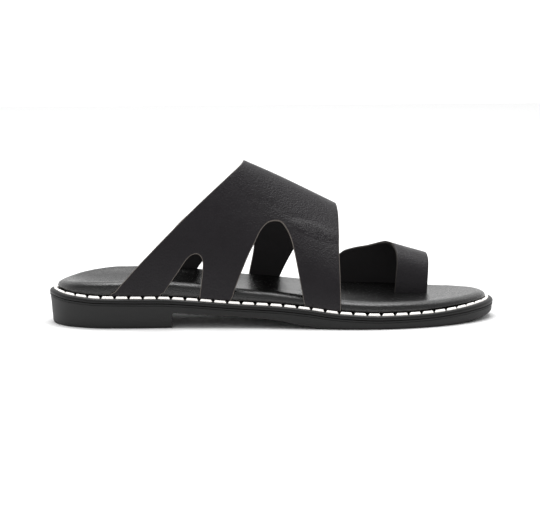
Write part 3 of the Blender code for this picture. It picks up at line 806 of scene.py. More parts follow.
@dataclass
class Outsole:
    """The moulded rubber unit: heel block, arched waist and forefoot."""

    form: SoleForm
    finish: MouldedRubber = MouldedRubber()
    heel_block: float = 70.0 * MM
    waist_gap: float = 8.8 * MM
    side_draft: float = 0.10
    side_inset: float = 0.1 * MM
    edge_round: float = 1.2 * MM
    groove_inset: float = 1.9 * MM
    rib_height: float = 1.0 * MM
    rib_stands: float = 0.35 * MM
    welt_width: float = 8.7 * MM
    slot_depth: float = 1.2 * MM
    slot_width: float = 2.2 * MM
    slot_pitch: float = 9.0 * MM
    slot_margin: float = 12.0 * MM
    heel_slots: int = 4
    forefoot_slots: int = 7
    forefoot_slots_start: float = 33.0 * MM
    breast_top: float = 0.985
    breast_round: float = 0.8 * MM
    columns: int = 10
    arch_steps: int = 10
    waist: Rows = (
        # along, gap
        (-0.160, 0.86), (-0.057, 0.70), (0.000, 0.52), (0.050, 0.26), (0.095, 0.09),
        (0.145, 0.00),
    )

    def build(self) -> bpy.types.Object:
        """Builds the unit and gives the piece.

        Returns:
            The piece.
        """
        form = self.form
        x = form.edge[:, 0]
        low, high = form.tread(x), form.groove(x)
        drop = high - low
        foot = self.side_inset + self.side_draft * drop
        rib = self.side_inset + self.rib_stands
        draft = MeshDraft()
        sections = [(foot + self.edge_round * 4, low)]
        for turn in np.radians(np.linspace(0, 90, 5)):
            inset = foot + self.edge_round * (1 - math.sin(turn))
            sections.append((inset, low + self.edge_round * (1 - math.cos(turn))))
        for share in (0.35, 0.65):
            inset = self.side_inset + self.side_draft * drop * (1 - share) + self.rib_stands * share
            sections.append((inset, low + share * drop))
        # The rib and the groove above it, in shares of the rib's height and the edge's rounding.
        sections += [
            (rib, high - self.rib_height * 1.35),
            (rib + 0.15 * MM, high - self.rib_height * 1.18),
            (rib, high - self.rib_height),
            (self.side_inset, high - self.rib_height * 0.80),
            (self.side_inset, high - self.rib_height * 0.35),
            (self.side_inset + self.edge_round * 0.07, high - self.rib_height * 0.10),
            (self.side_inset + self.edge_round * 0.25, high),
            (self.groove_inset, high),
            (self.welt_width + form.clearance, high),
            (self.welt_width + form.clearance, high + form.welt_thickness),
        ]
        rings = form.rings(draft, sections)
        form.cap(draft, rings[0], self.columns, lambda x, y, share: form.tread(x))
        form.cap(draft, rings[-1], self.columns, lambda x, y, share: form.seat(x))
        piece = draft.piece("outsole_unit", [self.finish.material()])
        cut_out(piece, [self.waist_cutter(), self.slot_cutter()])
        return piece

    def waist_cutter(self) -> bpy.types.Object:
        """Makes the cutter for the gap between heel block and forefoot.

        Returns:
            The cutter.
        """
        breast = self.heel_block - self.form.length / 2
        corner, top = self.breast_round, self.waist_gap * self.breast_top
        rows = np.array(self.waist) * (self.form.length, self.waist_gap)
        arch = smooth_curve(np.vstack([[(breast + corner * 2, top)], rows]), self.arch_steps)
        fillet = [
            (breast + corner * (1 - math.cos(turn)), top - corner * (1 - math.sin(turn)))
            for turn in np.radians(np.linspace(0, 80, 5))
        ]
        below = -self.waist_gap
        last = arch[-1][0] + self.waist_gap
        side_view = [(breast, below), *fillet, *map(tuple, arch), (last, below)]
        return prism("waist", side_view, self.form.ball_width)

    def slot_cutter(self) -> bpy.types.Object:
        """Makes one cutter with all tread slots.

        Returns:
            The cutter.
        """
        form = self.form
        starts = [-form.length / 2 + self.slot_margin + i * self.slot_pitch for i in range(self.heel_slots)]
        starts += [self.forefoot_slots_start + i * self.slot_pitch for i in range(self.forefoot_slots)]
        lateral = form.half(self.welt_width, Side.LATERAL)
        medial = form.half(self.welt_width, Side.MEDIAL)
        draft = MeshDraft()
        for start in starts:
            ends = np.array([start, start + self.slot_width])
            low = np.interp(ends, lateral[:, 0], lateral[:, 1]).max()
            high = np.interp(ends, medial[:, 0], medial[:, 1]).min()
            top = self.slot_depth + form.tread(np.array([start]))[0]
            outline = [(low, -self.slot_depth), (high, -self.slot_depth), (high, top), (low, top)]
            draft.tube([np.array([(x, y, z) for y, z in outline]) for x in ends])
        return draft.piece("slots", [])


@dataclass
class Welt:
    """The rounded bead round the sole, with the channel that the stitches lie in."""

    form: SoleForm
    finish: MouldedRubber = MouldedRubber("moulded_welt", "#111111", 0.44, specular=0.27)
    width: float = 8.7 * MM
    lower_round: float = 0.35 * MM
    upper_round: float = 2.3 * MM
    upper_drop: float = 1.7 * MM
    sharp_degrees: float = 50.0
    thread_inset: float = 3.6 * MM
    thread_diameter: float = 1.7 * MM
    thread_seat: float = 0.4 * MM
    # Along the sides the thread runs in front of the strap's legs, nearer to the edge.
    thread_run: Profile = Profile((
        # along, share
        (-0.500, 0.92), (-0.470, 0.88), (-0.400, 0.67), (0.380, 0.67), (0.470, 1.00),
        (0.500, 1.00),
    ))

    def thread_path(self) -> np.ndarray:
        """Gives the thread's distance from the welt's outer edge at each point of a ring."""
        return self.thread_inset * self.thread_run.at(self.form.edge[:, 0] / self.form.length)

    def build(self) -> bpy.types.Object:
        """Builds the bead and gives the piece.

        Returns:
            The piece.
        """
        form = self.form
        x = form.edge[:, 0]
        base = form.groove(x) + form.clearance
        top = form.seat(x)
        seat_half = (self.thread_diameter + form.clearance) / 2
        sections = [(self.width, base)]
        for turn in np.radians(np.linspace(90, 0, 4)):
            inset = self.lower_round * (1 - math.cos(turn))
            sections.append((inset, base + self.lower_round * (1 - math.sin(turn))))
        for turn in np.radians(np.linspace(0, 90, 9)):
            inset = self.upper_round * (1 - math.cos(turn))
            sections.append((inset, top - self.upper_drop * (1 - math.sin(turn))))
        for turn in np.radians(np.linspace(0, 180, 7)):
            inset = np.maximum(self.thread_path() - seat_half * math.cos(turn), self.upper_round)
            sections.append((inset, top - self.thread_seat * math.sin(turn)))
        sections.append((self.width, top))
        draft = MeshDraft()
        form.rings(draft, sections, closed=True)
        piece = draft.piece("welt_bead", [self.finish.material()])
        piece.data.set_sharp_from_angle(angle=math.radians(self.sharp_degrees))
        return piece


@dataclass
class WeltStitching:
    """The thick white cord that is laced round the welt, a hump for each stitch."""

    form: SoleForm
    path: np.ndarray
    finish: StitchCord = StitchCord()
    pitch: float = 8.1 * MM
    radius: float = 0.88 * MM
    end_radius: float = 0.32 * MM
    rise: float = 0.28 * MM
    dip: float = 1.45 * MM
    slant: float = 0.30
    strands: int = 3
    strand_lay: float = 3.4 * MM
    strand_depth: float = 0.05
    around: int = 14
    along: int = 28
    # How much the hump swells at its shoulders.
    shoulder: float = 0.15

    def build(self) -> bpy.types.Object:
        """Builds all stitches as one piece.

        Returns:
            The piece.
        """
        form = self.form
        flat = form.inset(self.path)
        closed = np.vstack([flat, flat[:1]])
        stitches = round(line_length(closed) / self.pitch)
        path = spaced(closed, stitches * self.along)
        step = line_length(closed) / (stitches * self.along)
        share = np.arange(self.along + 1) / self.along
        from_end = np.clip((1 - np.abs(2 * share - 1)) / self.slant, 0, 1)
        arch = from_end * (1 + self.shoulder - self.shoulder * from_end)
        draft = MeshDraft()
        for stitch in range(stitches):
            at = (stitch * self.along + np.arange(self.along + 1)) % (stitches * self.along)
            before, after = path[at - 1], path[(at + 1) % (stitches * self.along)]
            tangent = (after - before) / np.linalg.norm(after - before, axis=1)[:, None]
            across = np.column_stack([-tangent[:, 1], tangent[:, 0]])
            centre = form.seat(path[at][:, 0]) + self.rise * arch - self.dip * (1 - arch)
            radius = self.end_radius + (self.radius - self.end_radius) * arch
            rings = []
            for i in range(self.along + 1):
                angle = np.linspace(0, 2 * math.pi, self.around, endpoint=False)
                lay = 2 * math.pi * i * step / self.strand_lay
                swell = 1 + self.strand_depth * np.cos(self.strands * angle - lay * self.strands)
                out = radius[i] * swell * np.cos(angle)
                up = radius[i] * swell * np.sin(angle)
                flat_points = path[at[i]] + out[:, None] * across[i]
                rings.append(np.column_stack([flat_points, centre[i] + up]))
            draft.tube(rings)
        return draft.piece("welt_stitching", [self.finish.material()])


@dataclass(frozen=True)
class FootbedFold:
    """A soft trough in the footbed's cover, from one place to another in millimetres."""

    start: tuple[float, float, float]
    end: tuple[float, float, float]
    depth: float
    width: float


@dataclass
class Footbed:
    """The padded insole: leather drawn over a rounded rim, with a cupped heel."""

    form: SoleForm
    finish: FootbedLeather = FootbedLeather()
    inset: float = 4.8 * MM
    heel_thickness: float = 9.2 * MM
    toe_thickness: float = 5.2 * MM
    rim_round: float = 3.2 * MM
    rim_reach: float = 5.5 * MM
    cup_depth: float = 2.8 * MM
    arch_rise: float = 2.4 * MM
    side_bulge: float = 0.25 * MM
    # The rim's rounding takes at most this share of the wall, and the tuck under it a share of the rounding.
    wall_share: float = 0.62
    tuck_share: float = 0.4
    columns: int = 44
    lower_columns: int = 8
    thickness: Profile = Profile((
        # along, share
        (-0.500, -0.20), (-0.460, 0.30), (-0.420, 0.74), (-0.380, 0.92), (-0.340, 1.00),
        (-0.190, 1.00), (-0.050, 0.65), (0.080, 0.42), (0.230, 0.40), (0.380, 0.10),
        (0.500, -0.20),
    ))
    cup: Profile = Profile((
        # along, share
        (-0.500, 0.00), (-0.462, 0.00), (-0.430, 0.40), (-0.380, 0.90), (-0.340, 1.00),
        (-0.190, 0.80), (-0.050, 0.40), (0.080, 0.28), (0.230, 0.32), (0.380, 0.16),
        (0.450, 0.00), (0.500, 0.00),
    ))
    arch: Profile = Profile((
        # along, share
        (-0.500, 0.00), (-0.458, 0.00), (-0.400, 0.60), (-0.340, 1.00), (-0.190, 1.00),
        (-0.050, 0.60), (0.080, 0.10), (0.230, 0.00), (0.500, 0.00),
    ))
    folds: tuple[FootbedFold, ...] = (
        FootbedFold((-113, -24, 21), (-107, -27, 24), 0.50, 1.1),
        FootbedFold((-110, -27, 20), (-103, -27, 24), 0.60, 1.0),
        FootbedFold((-106, -28, 24), (-101, -28, 20), 0.60, 1.0),
        FootbedFold((-103, -28, 21), (-97, -29, 24), 0.50, 1.1),
        FootbedFold((-99, -29, 24), (-95, -29, 20), 0.45, 1.0),
        FootbedFold((84, 34, 13.5), (104, 27, 13.5), 0.50, 1.5),
        FootbedFold((100, 28, 13.5), (117, 17, 13.5), 0.55, 1.5),
    )

    def rim(self, x: np.ndarray) -> np.ndarray:
        """Gives the height of the top at its edge, before the arch support."""
        extra = self.thickness.at(x / self.form.length) * (self.heel_thickness - self.toe_thickness)
        return self.form.seat(x) + self.toe_thickness + extra

    def top(self, x: np.ndarray, y: np.ndarray, share: np.ndarray) -> np.ndarray:
        """Gives the height of the top inside its rim.

        Args:
            x: Places along the sole.
            y: Places across it, which the height doesn't depend on.
            share: The share of the width, from the lateral side.

        Returns:
            The height at each.
        """
        along = x / self.form.length
        across = 2 * share - 1
        support = self.arch.at(along) * self.arch_rise * np.maximum(across, 0)
        return self.rim(x) + support - self.cup.at(along) * self.cup_depth * (1 - across**4) ** 2

    def build(self, cutters: list[bpy.types.Object]) -> bpy.types.Object:
        """Builds the footbed.

        Args:
            cutters: The pockets for the folded leather, and the toe loop's slot.

        Returns:
            The piece.
        """
        form = self.form
        x = form.edge[:, 0]
        low = form.seat(x) + form.clearance
        medial = np.arange(form.count) > form.steps
        inner = form.inset(self.inset + self.rim_reach)[:, 0]
        high = self.rim(inner) + self.arch.at(inner / form.length) * self.arch_rise * medial
        edge = np.minimum(self.rim_round, self.wall_share * (high - low))
        tuck = edge * self.tuck_share
        draft = MeshDraft()
        sections = []
        for turn in np.radians(np.linspace(0, 90, 4)):
            sections.append((self.inset + tuck * (1 - math.sin(turn)), low + tuck * (1 - math.cos(turn))))
        for share in (0.3, 0.6):
            bulge = self.side_bulge * math.sin(math.pi * share)
            sections.append((self.inset - bulge, low + tuck + share * (high - low - tuck - edge)))
        for turn in np.radians(np.linspace(0, 90, 11)):
            reach = self.rim_reach * (1 - math.cos(turn))
            sections.append((self.inset + reach, high - edge * (1 - math.sin(turn))))
        rings = form.rings(draft, sections)
        form.cap(draft, rings[0], self.lower_columns, lambda x, y, share: form.seat(x) + form.clearance)
        form.cap(draft, rings[-1], self.columns, self.top)
        piece = draft.piece("footbed_pad", [self.finish.material()])
        self.crease(piece)
        cut_out(piece, cutters)
        return piece

    def crease(self, piece: bpy.types.Object) -> None:
        """Presses the folds into the cover.

        Args:
            piece: The footbed, before anything is cut out of it.
        """
        mesh = piece.data
        points = np.array([v.co for v in mesh.vertices])
        normals = np.array([v.normal for v in mesh.vertices])
        for fold in self.folds:
            start, end = np.array(fold.start) * MM, np.array(fold.end) * MM
            run = end - start
            share = np.clip((points - start) @ run / (run @ run), 0, 1)
            distance = np.linalg.norm(points - start - share[:, None] * run, axis=1)
            depth = fold.depth * MM * hump(distance, fold.width * MM)
            points -= normals * depth[:, None]
        mesh.vertices.foreach_set("co", points.ravel())
        mesh.update()


# Upper


@dataclass(frozen=True)
class StrapCrease:
    """A soft trough in the strap, seen from the side, in millimetres.

    A negative depth makes it a ridge.
    """

    start: Place
    end: Place
    depth: float
    width: float
    side: Side = Side.LATERAL


@dataclass
class Leather:
    """A sheet of leather laid over an arch that stands on the footbed's edge or in its slot.

    A place on it is x along the shoe and a signed distance round the arch: 0 at the crest and
    negative on the lateral side. Past the arch's foot the sheet folds under the footbed.
    """

    form: SoleForm
    thickness: float = 1.5 * MM
    fold_radius: float = 0.6 * MM
    tab_length: float = 10.0 * MM
    tab_room: float = 0.6 * MM
    roundness: float = 0.86
    peak: float = 0.0
    mesh_size: float = 1.35 * MM
    edge_size: float = 1.15 * MM
    edge_round: float = 0.4 * MM
    section_steps: int = 72
    creases: tuple[StrapCrease, ...] = ()
    sway: float = 0.25 * MM
    sway_size: float = 22.0 * MM
    # Creases and sway set in above the foot and are full a little higher.
    relief_from: float = 4.0 * MM
    relief_over: float = 10.0 * MM
    # A crease fades out towards its ends, to the sine of this share of a half turn.
    crease_ends: float = 0.15
    # Grid points keep this share of the mesh size from the outline.
    grid_gap: float = 0.62
    grid_parts: int = 24
    curve_steps: int = 10
    tab_steps: int = 6
    pocket_rings: int = 12
    spare_share: float = 0.4
    footbed_inset: float = 4.8 * MM

    def __post_init__(self) -> None:
        """Works out where the feet stand, and the arch's shape."""
        self.fold_lines: list[tuple[Place, ...]] = []
        self.feet = {side: self.form.half(self.footbed_inset - self.form.clearance, side) for side in Side}
        angle = np.linspace(math.pi / 2, 0, self.section_steps)
        across = np.maximum(np.cos(angle), 0)
        self.reach = (1 - self.peak) * across**self.roundness + self.peak * across**3
        self.rise = np.sin(angle)

    def foot_y(self, x: float, side: Side) -> float:
        """Gives Y of the arch's foot."""
        half = self.feet[side]
        return float(np.interp(x, half[:, 0], half[:, 1]))

    def crest(self, x: float) -> Place:
        """Gives Y and Z of the crest's inner face."""
        raise NotImplementedError

    def half_section(self, x: float, side: Side) -> tuple[np.ndarray, np.ndarray, np.ndarray]:
        """Gives distance from the crest, Y and Z along one half of the arch.

        Args:
            x: A place along the shoe.
            side: The side of the foot.

        Returns:
            The distances from the crest, and Y and Z there.
        """
        crest_y, crest_z = self.crest(x)
        foot_z = self.form.seat_at(x) + self.form.clearance + self.thickness + self.fold_radius
        y = crest_y + (self.foot_y(x, side) - crest_y) * self.reach
        z = foot_z + (crest_z - foot_z) * self.rise
        steps = np.hypot(np.diff(y), np.diff(z))
        return np.concatenate([[0], np.cumsum(steps)]), y, z

    def distance_at(self, x: float, z: float, side: Side) -> float:
        """Gives the signed distance round the arch of the point at height z.

        Args:
            x: A place along the shoe.
            z: The height of the inner face.
            side: The side of the foot.

        Returns:
            The distance, negative on the lateral side.
        """
        distance, _, heights = self.half_section(x, side)
        foot = heights[-1]
        if z < foot:
            return side.value * (distance[-1] + foot - z)
        return side.value * float(np.interp(-z, -heights, distance))

    def place(self, x: float, distance: float) -> np.ndarray:
        """Gives the point of the inner face for a place on the sheet.

        Args:
            x: A place along the shoe.
            distance: The signed distance round the arch.

        Returns:
            The point in space.
        """
        side = Side.LATERAL if distance < 0 else Side.MEDIAL
        distances, ys, zs = self.half_section(x, side)
        past = abs(distance) - distances[-1]
        if past <= 0:
            y = np.interp(abs(distance), distances, ys)
            return np.array([x, y, np.interp(abs(distance), distances, zs)])
        quarter = self.fold_radius * math.pi / 2
        turn = min(past, quarter) / self.fold_radius
        inward = self.fold_radius * (1 - math.cos(turn)) + max(past - quarter, 0)
        return np.array([x, ys[-1] - side.value * inward, zs[-1] - self.fold_radius * math.sin(turn)])

    def relief(self, point: np.ndarray, side: Side) -> float:
        """Gives how far creases and the leather's own sway move a point outwards.

        Args:
            point: A point of the inner face.
            side: The side of the foot.

        Returns:
            The move along the sheet's normal.
        """
        above = point[2] - self.form.seat_at(point[0])
        if above < self.relief_from:
            return 0.0
        fade = min(1.0, (above - self.relief_from) / self.relief_over)
        height = self.sway * fade * noise.noise(Vector(point / self.sway_size))
        seen = np.array([point[0], point[2]])
        for crease in self.creases:
            if crease.side is not side:
                continue
            start, end = np.array(crease.start) * MM, np.array(crease.end) * MM
            run = end - start
            share = np.clip((seen - start) @ run / (run @ run), 0, 1)
            off = np.linalg.norm(seen - start - share * run)
            fading = math.sin(math.pi * (self.crease_ends + (1 - 2 * self.crease_ends) * share))
            height -= fade * crease.depth * MM * fading * hump(off, crease.width * MM)
        return height

    def edge_line(self, rows: Rows, height: float, side: Side) -> list[Place]:
        """Turns a cut edge seen from the side to places on the sheet.

        Args:
            rows: Shares of the sole's length and of height.
            height: The height that the shares are of.
            side: The side of the foot.

        Returns:
            The places, evenly spaced.
        """
        line = smooth_curve(np.array(rows) * (self.form.length, height), self.curve_steps)
        line = spaced(line, max(2, round(line_length(line) / self.edge_size)))
        return [(x, self.distance_at(x, z, side)) for x, z in line]

    def fold_rows(self, x: float, side: Side) -> list[Place]:
        """Gives places along a tab's side, from the arch's foot to the tab's end.

        Args:
            x: A place along the shoe.
            side: The side of the foot.

        Returns:
            The places.
        """
        foot = self.half_section(x, side)[0][-1]
        quarter = self.fold_radius * math.pi / 2
        past = [0.0, quarter / 3, quarter * 2 / 3, quarter]
        past += list(quarter + np.linspace(0, self.tab_length, self.tab_steps + 1)[1:])
        return [(x, side.value * (foot + p)) for p in past]

    def leg(self, edge_in: list[Place], edge_out: list[Place], side: Side) -> list[Place]:
        """Runs down one cut edge, round the folded tab and up the next edge.

        Args:
            edge_in: The edge that runs down.
            edge_out: The edge that runs up.
            side: The side of the foot.

        Returns:
            The places of the whole run.
        """
        down, up = self.above_foot(edge_in, side), self.above_foot(edge_out, side)
        x_in, x_out = edge_in[-1][0], edge_out[0][0]
        count = max(2, round(abs(x_out - x_in) / self.mesh_size))
        stations = np.linspace(x_in, x_out, count + 1)
        self.fold_lines.extend(zip(*[self.fold_rows(x, side)[:4] for x in stations]))
        end = [self.fold_rows(x, side)[-1] for x in stations]
        return down + self.fold_rows(x_in, side) + end[1:-1] + self.fold_rows(x_out, side)[::-1] + up

    def above_foot(self, line: list[Place], side: Side) -> list[Place]:
        """Gives the part of a cut edge that is above the arch's foot."""
        spare = self.edge_size * self.spare_share
        return [(x, d) for x, d in line if abs(d) < self.half_section(x, side)[0][-1] - spare]

    def pocket(self, start: float, end: float, side: Side) -> bpy.types.Object:
        """Makes a cutter round one folded tab, open at the footbed's side and underneath.

        Args:
            start: Where the tab starts along the shoe.
            end: Where it ends.
            side: The side of the foot.

        Returns:
            The cutter.
        """
        clearance = self.form.clearance
        rings = []
        for x in np.linspace(start - self.tab_room, end + self.tab_room, self.pocket_rings):
            foot = self.foot_y(x, side)
            outer = foot + side.value * (clearance + self.thickness)
            inner = foot - side.value * (self.fold_radius + self.tab_length + self.tab_room)
            seat = self.form.seat_at(x)
            low, high = seat - clearance, seat + self.thickness + 2 * clearance
            rings.append(np.array([(x, outer, low), (x, inner, low), (x, inner, high), (x, outer, high)]))
        draft = MeshDraft()
        draft.tube(rings)
        return draft.piece("pocket", [])

    def filled(self, loop: list[Place]) -> tuple[np.ndarray, list[tuple[int, ...]]]:
        """Fills a cut outline with small triangles.

        Args:
            loop: The outline's places.

        Returns:
            The places and the triangles between them.
        """
        flat = [tuple(p) for p in loop]
        border = [(i, (i + 1) % len(loop)) for i in range(len(loop))]
        for line in self.fold_lines:
            border.extend((len(flat) + i, len(flat) + i + 1) for i in range(len(line) - 1))
            flat.extend(line)
        fixed = np.array(flat)
        low, high = np.min(loop, axis=0), np.max(loop, axis=0)
        grid = []
        for row, y in enumerate(np.arange(low[1], high[1], self.mesh_size * math.sqrt(3) / 2)):
            xs = np.arange(low[0] + (row % 2) * self.mesh_size / 2, high[0], self.mesh_size)
            grid.append(np.column_stack([xs, np.full(len(xs), y)]))
        grid = np.vstack(grid)
        starts = np.array(loop)
        ends = np.roll(starts, -1, axis=0)
        kept = []
        for part in np.array_split(grid, self.grid_parts):
            x, y = part[:, :1], part[:, 1:]
            crosses = (starts[:, 1] > y) != (ends[:, 1] > y)
            with np.errstate(divide="ignore", invalid="ignore"):
                slope = (y - starts[:, 1]) * (ends[:, 0] - starts[:, 0]) / (ends[:, 1] - starts[:, 1])
                reach = starts[:, 0] + slope
            within = ((crosses & (x < reach)).sum(1) % 2) == 1
            nearest = np.linalg.norm(part[:, None] - fixed[None], axis=2).min(1)
            kept.append(part[within & (nearest > self.mesh_size * self.grid_gap)])
        flat += [tuple(p) for p in np.vstack(kept)]
        points, _, faces, *_ = delaunay_2d_cdt([Vector(p) for p in flat], border, [], 1, 1e-7)
        return np.array([tuple(p) for p in points]), [tuple(f) for f in faces]

    def build(self, name: str, loop: list[Place], materials: list[bpy.types.Material]) -> bpy.types.Object:
        """Lays a cut outline over the arch as leather of real thickness with rounded cut edges.

        Args:
            name: The piece's name.
            loop: The outline's places.
            materials: The finishes in the order of Face.

        Returns:
            The piece.
        """
        places, faces = self.filled(loop)
        nudge = 0.05 * MM
        inner, normals = [], []
        for x, d in places:
            here = self.place(x, d)
            along = self.place(x + nudge, d) - here
            sign = -1 if d > 0 else 1
            round_it = (self.place(x, d + sign * nudge) - here) * sign
            normal = np.cross(along, round_it)
            inner.append(here)
            normals.append(normal / np.linalg.norm(normal))
        inner, normals = np.array(inner), np.array(normals)
        sides = [Side.LATERAL if d < 0 else Side.MEDIAL for _, d in places]
        lift = np.array([self.relief(p, s) for p, s in zip(inner, sides)])
        inner = inner + normals * lift[:, None]
        return self.thicken(name, inner, normals, faces, materials)

    def thicken(
        self,
        name: str,
        inner: np.ndarray,
        normals: np.ndarray,
        faces: list[tuple[int, ...]],
        materials: list[bpy.types.Material],
    ) -> bpy.types.Object:
        """Gives a sheet its thickness and its rounded cut edge.

        Args:
            name: The piece's name.
            inner: The points of the inner face.
            normals: The direction outwards at each.
            faces: The triangles between them.
            materials: The finishes in the order of Face.

        Returns:
            The piece.
        """
        used = dict.fromkeys(pair for face in faces for pair in zip(face, face[1:] + face[:1]))
        rim = [(a, b) for a, b in used if (b, a) not in used]
        outward = np.zeros_like(inner)
        for a, b in rim:
            away = np.cross(inner[b] - inner[a], normals[a])
            away /= np.linalg.norm(away)
            outward[a] += away
            outward[b] += away
        lengths = np.linalg.norm(outward, axis=1)
        on_rim = lengths > 0
        outward[on_rim] /= lengths[on_rim][:, None]
        draft = MeshDraft()
        start = inner - outward * self.edge_round
        back = draft.add_points(start)
        front = draft.add_points(start + normals * self.thickness)
        for face in faces:
            draft.add_face(tuple(front + i for i in face), Face.GRAIN.value)
            draft.add_face(tuple(back + i for i in reversed(face)), Face.LINING.value)
        rim_points = sorted({i for pair in rim for i in pair})
        number = {point: i for i, point in enumerate(rim_points)}
        here, up, away = inner[rim_points], normals[rim_points], outward[rim_points]
        r, turns = self.edge_round, np.radians([30, 60, 90])
        levels = [(turn, (1 - math.cos(turn)) * r) for turn in turns]
        levels += [(turn, self.thickness - (1 - math.cos(turn)) * r) for turn in turns[::-1]]
        rounds = [here + away * (math.sin(turn) - 1) * r + up * height for turn, height in levels]
        firsts = [draft.add_points(points) for points in rounds]
        for a, b in rim:
            levels_a = [back + a, *(first + number[a] for first in firsts), front + a]
            levels_b = [back + b, *(first + number[b] for first in firsts), front + b]
            wears = [Face.LINING, *[Face.CUT_EDGE] * len(levels)]
            for i, wear in enumerate(wears):
                draft.add_face((levels_a[i], levels_b[i], levels_b[i + 1], levels_a[i + 1]), wear.value)
        return draft.piece(name, materials, turn=False)


def joined(pieces: list[list[Place]], least: float) -> list[Place]:
    """Joins runs of places to one closed outline, leaving out repeated places.

    Args:
        pieces: The runs, in order.
        least: Places nearer to each other than this are one.

    Returns:
        The outline's places.
    """
    loop: list[Place] = []
    for piece in pieces:
        for place in piece:
            if not loop or math.dist(place, loop[-1]) > least:
                loop.append(place)
    if math.dist(loop[0], loop[-1]) <= least:
        loop.pop()
    return loop


@dataclass
class InstepStrap(Leather):
    """The instep strap: one piece of leather with three legs on each side and arched cut-outs."""

    peak: float = 0.5
    rear_height: float = 93.5 * MM
    front_height: float = 67.5 * MM
    rear_along: float = -17.0 * MM
    front_along: float = 37.0 * MM
    rear_across: float = 3.0 * MM
    front_across: float = 5.0 * MM
    crest_bow: float = 0.5 * MM
    creases: tuple[StrapCrease, ...] = (
        StrapCrease((12, 58.5), (37, 49.4), -0.45, 3.2),
        StrapCrease((6, 63), (22, 56.5), 0.18, 1.6),
        StrapCrease((12, 61.5), (30, 53.8), 0.16, 1.3),
        StrapCrease((15, 57), (27, 51.4), 0.22, 1.2),
        StrapCrease((20, 57), (34, 51.6), 0.20, 1.2),
        StrapCrease((17, 58.6), (31, 52.6), -0.20, 1.0),
        StrapCrease((18, 53.5), (36, 46.8), 0.25, 2.0),
        StrapCrease((-8, 72), (8, 63), 0.10, 1.8),
    )
    lateral_rear_edge: Rows = (
        # along, up
        (-0.3670, 0.187), (-0.3555, 0.233), (-0.3300, 0.314), (-0.3010, 0.402),
        (-0.2336, 0.590), (-0.1650, 0.765), (-0.1044, 0.906), (-0.0692, 0.984),
        (-0.0647, 1.000),
    )
    medial_rear_edge: Rows = (
        # along, up
        (-0.318, 0.187), (-0.305, 0.240), (-0.278, 0.330), (-0.204, 0.586), (-0.110, 0.813),
        (-0.072, 0.915), (-0.0647, 1.000),
    )
    front_edge: Rows = (
        # along, up
        (0.1415, 0.722), (0.1423, 0.660), (0.1397, 0.555), (0.1368, 0.449), (0.1361, 0.130),
    )
    lateral_small_cut: Rows = (
        # along, up
        (-0.2570, 0.187), (-0.2497, 0.220), (-0.2170, 0.352), (-0.1980, 0.425),
        (-0.1880, 0.446), (-0.1775, 0.452), (-0.1690, 0.438), (-0.1648, 0.405),
        (-0.1675, 0.290), (-0.1722, 0.187),
    )
    lateral_large_cut: Rows = (
        # along, up
        (-0.1020, 0.157), (-0.0932, 0.242), (-0.0638, 0.439), (-0.0493, 0.515),
        (-0.0347, 0.588), (-0.0183, 0.632), (-0.0046, 0.641), (0.0103, 0.634), (0.0221, 0.592),
        (0.0314, 0.532), (0.0377, 0.452), (0.0464, 0.312), (0.0576, 0.138),
    )
    medial_rear_cut: Rows = (
        # along, up
        (-0.182, 0.187), (-0.169, 0.260), (-0.152, 0.328), (-0.118, 0.433), (-0.088, 0.502),
        (-0.062, 0.521), (-0.0425, 0.502), (-0.0335, 0.433), (-0.0425, 0.256), (-0.0480, 0.167),
    )
    medial_front_cut: Rows = (
        # along, up
        (0.0225, 0.148), (0.0269, 0.198), (0.0590, 0.380), (0.0703, 0.437), (0.0797, 0.463),
        (0.0877, 0.453), (0.0932, 0.397), (0.0944, 0.138),
    )

    def crest(self, x: float) -> Place:
        """Gives Y and Z of the crest's inner face.

        Args:
            x: A place along the shoe.

        Returns:
            Y and Z.
        """
        share = (x - self.rear_along) / (self.front_along - self.rear_along)
        y = self.rear_across + share * (self.front_across - self.rear_across)
        z = self.rear_height + share * (self.front_height - self.rear_height)
        return y, z + self.crest_bow * 4 * share * (1 - share) - self.thickness

    def outline(self) -> list[Place]:
        """Gives the strap's cut outline.

        Returns:
            The outline's places.
        """
        height = self.rear_height
        rear_up = self.edge_line(self.lateral_rear_edge, height, Side.LATERAL)
        rear_down = self.edge_line(self.medial_rear_edge, height, Side.MEDIAL)[::-1]
        front_down = self.edge_line(self.front_edge, height, Side.LATERAL)
        front_up = self.edge_line(self.front_edge, height, Side.MEDIAL)[::-1]
        small = self.edge_line(self.lateral_small_cut, height, Side.LATERAL)[::-1]
        large = self.edge_line(self.lateral_large_cut, height, Side.LATERAL)[::-1]
        back = self.edge_line(self.medial_rear_cut, height, Side.MEDIAL)
        front = self.edge_line(self.medial_front_cut, height, Side.MEDIAL)
        runs = [[(rear_up[-1][0], 0.0)]]
        medial = [rear_down, back, front, front_up]
        lateral = [front_down, large, small, rear_up]
        for side, edges, crest in (
            (Side.MEDIAL, medial, (front_down[0][0], 0.0)),
            (Side.LATERAL, lateral, (rear_up[-1][0], 0.0)),
        ):
            for index, (edge_in, edge_out) in enumerate(zip(edges, edges[1:])):
                run = self.leg(edge_in, edge_out, side)
                skip = len(self.above_foot(edge_in, side)) if index else 0
                runs.append(run[skip:])
            runs.append([crest])
        return joined(runs, self.edge_size * 0.1)

    def pockets(self) -> list[bpy.types.Object]:
        """Makes the cutters for the strap's six tabs.

        Returns:
            The cutters.
        """
        ends = {
            Side.LATERAL: (self.lateral_rear_edge, self.lateral_small_cut, self.lateral_large_cut),
            Side.MEDIAL: (self.medial_rear_edge, self.medial_rear_cut, self.medial_front_cut),
        }
        found = []
        for side, (rear, *cuts) in ends.items():
            starts = [rear[0], *(cut[-1] for cut in cuts)]
            stops = [*(cut[0] for cut in cuts), self.front_edge[-1]]
            for start, stop in zip(starts, stops):
                found.append(self.pocket(start[0] * self.form.length, stop[0] * self.form.length, side))
        return found


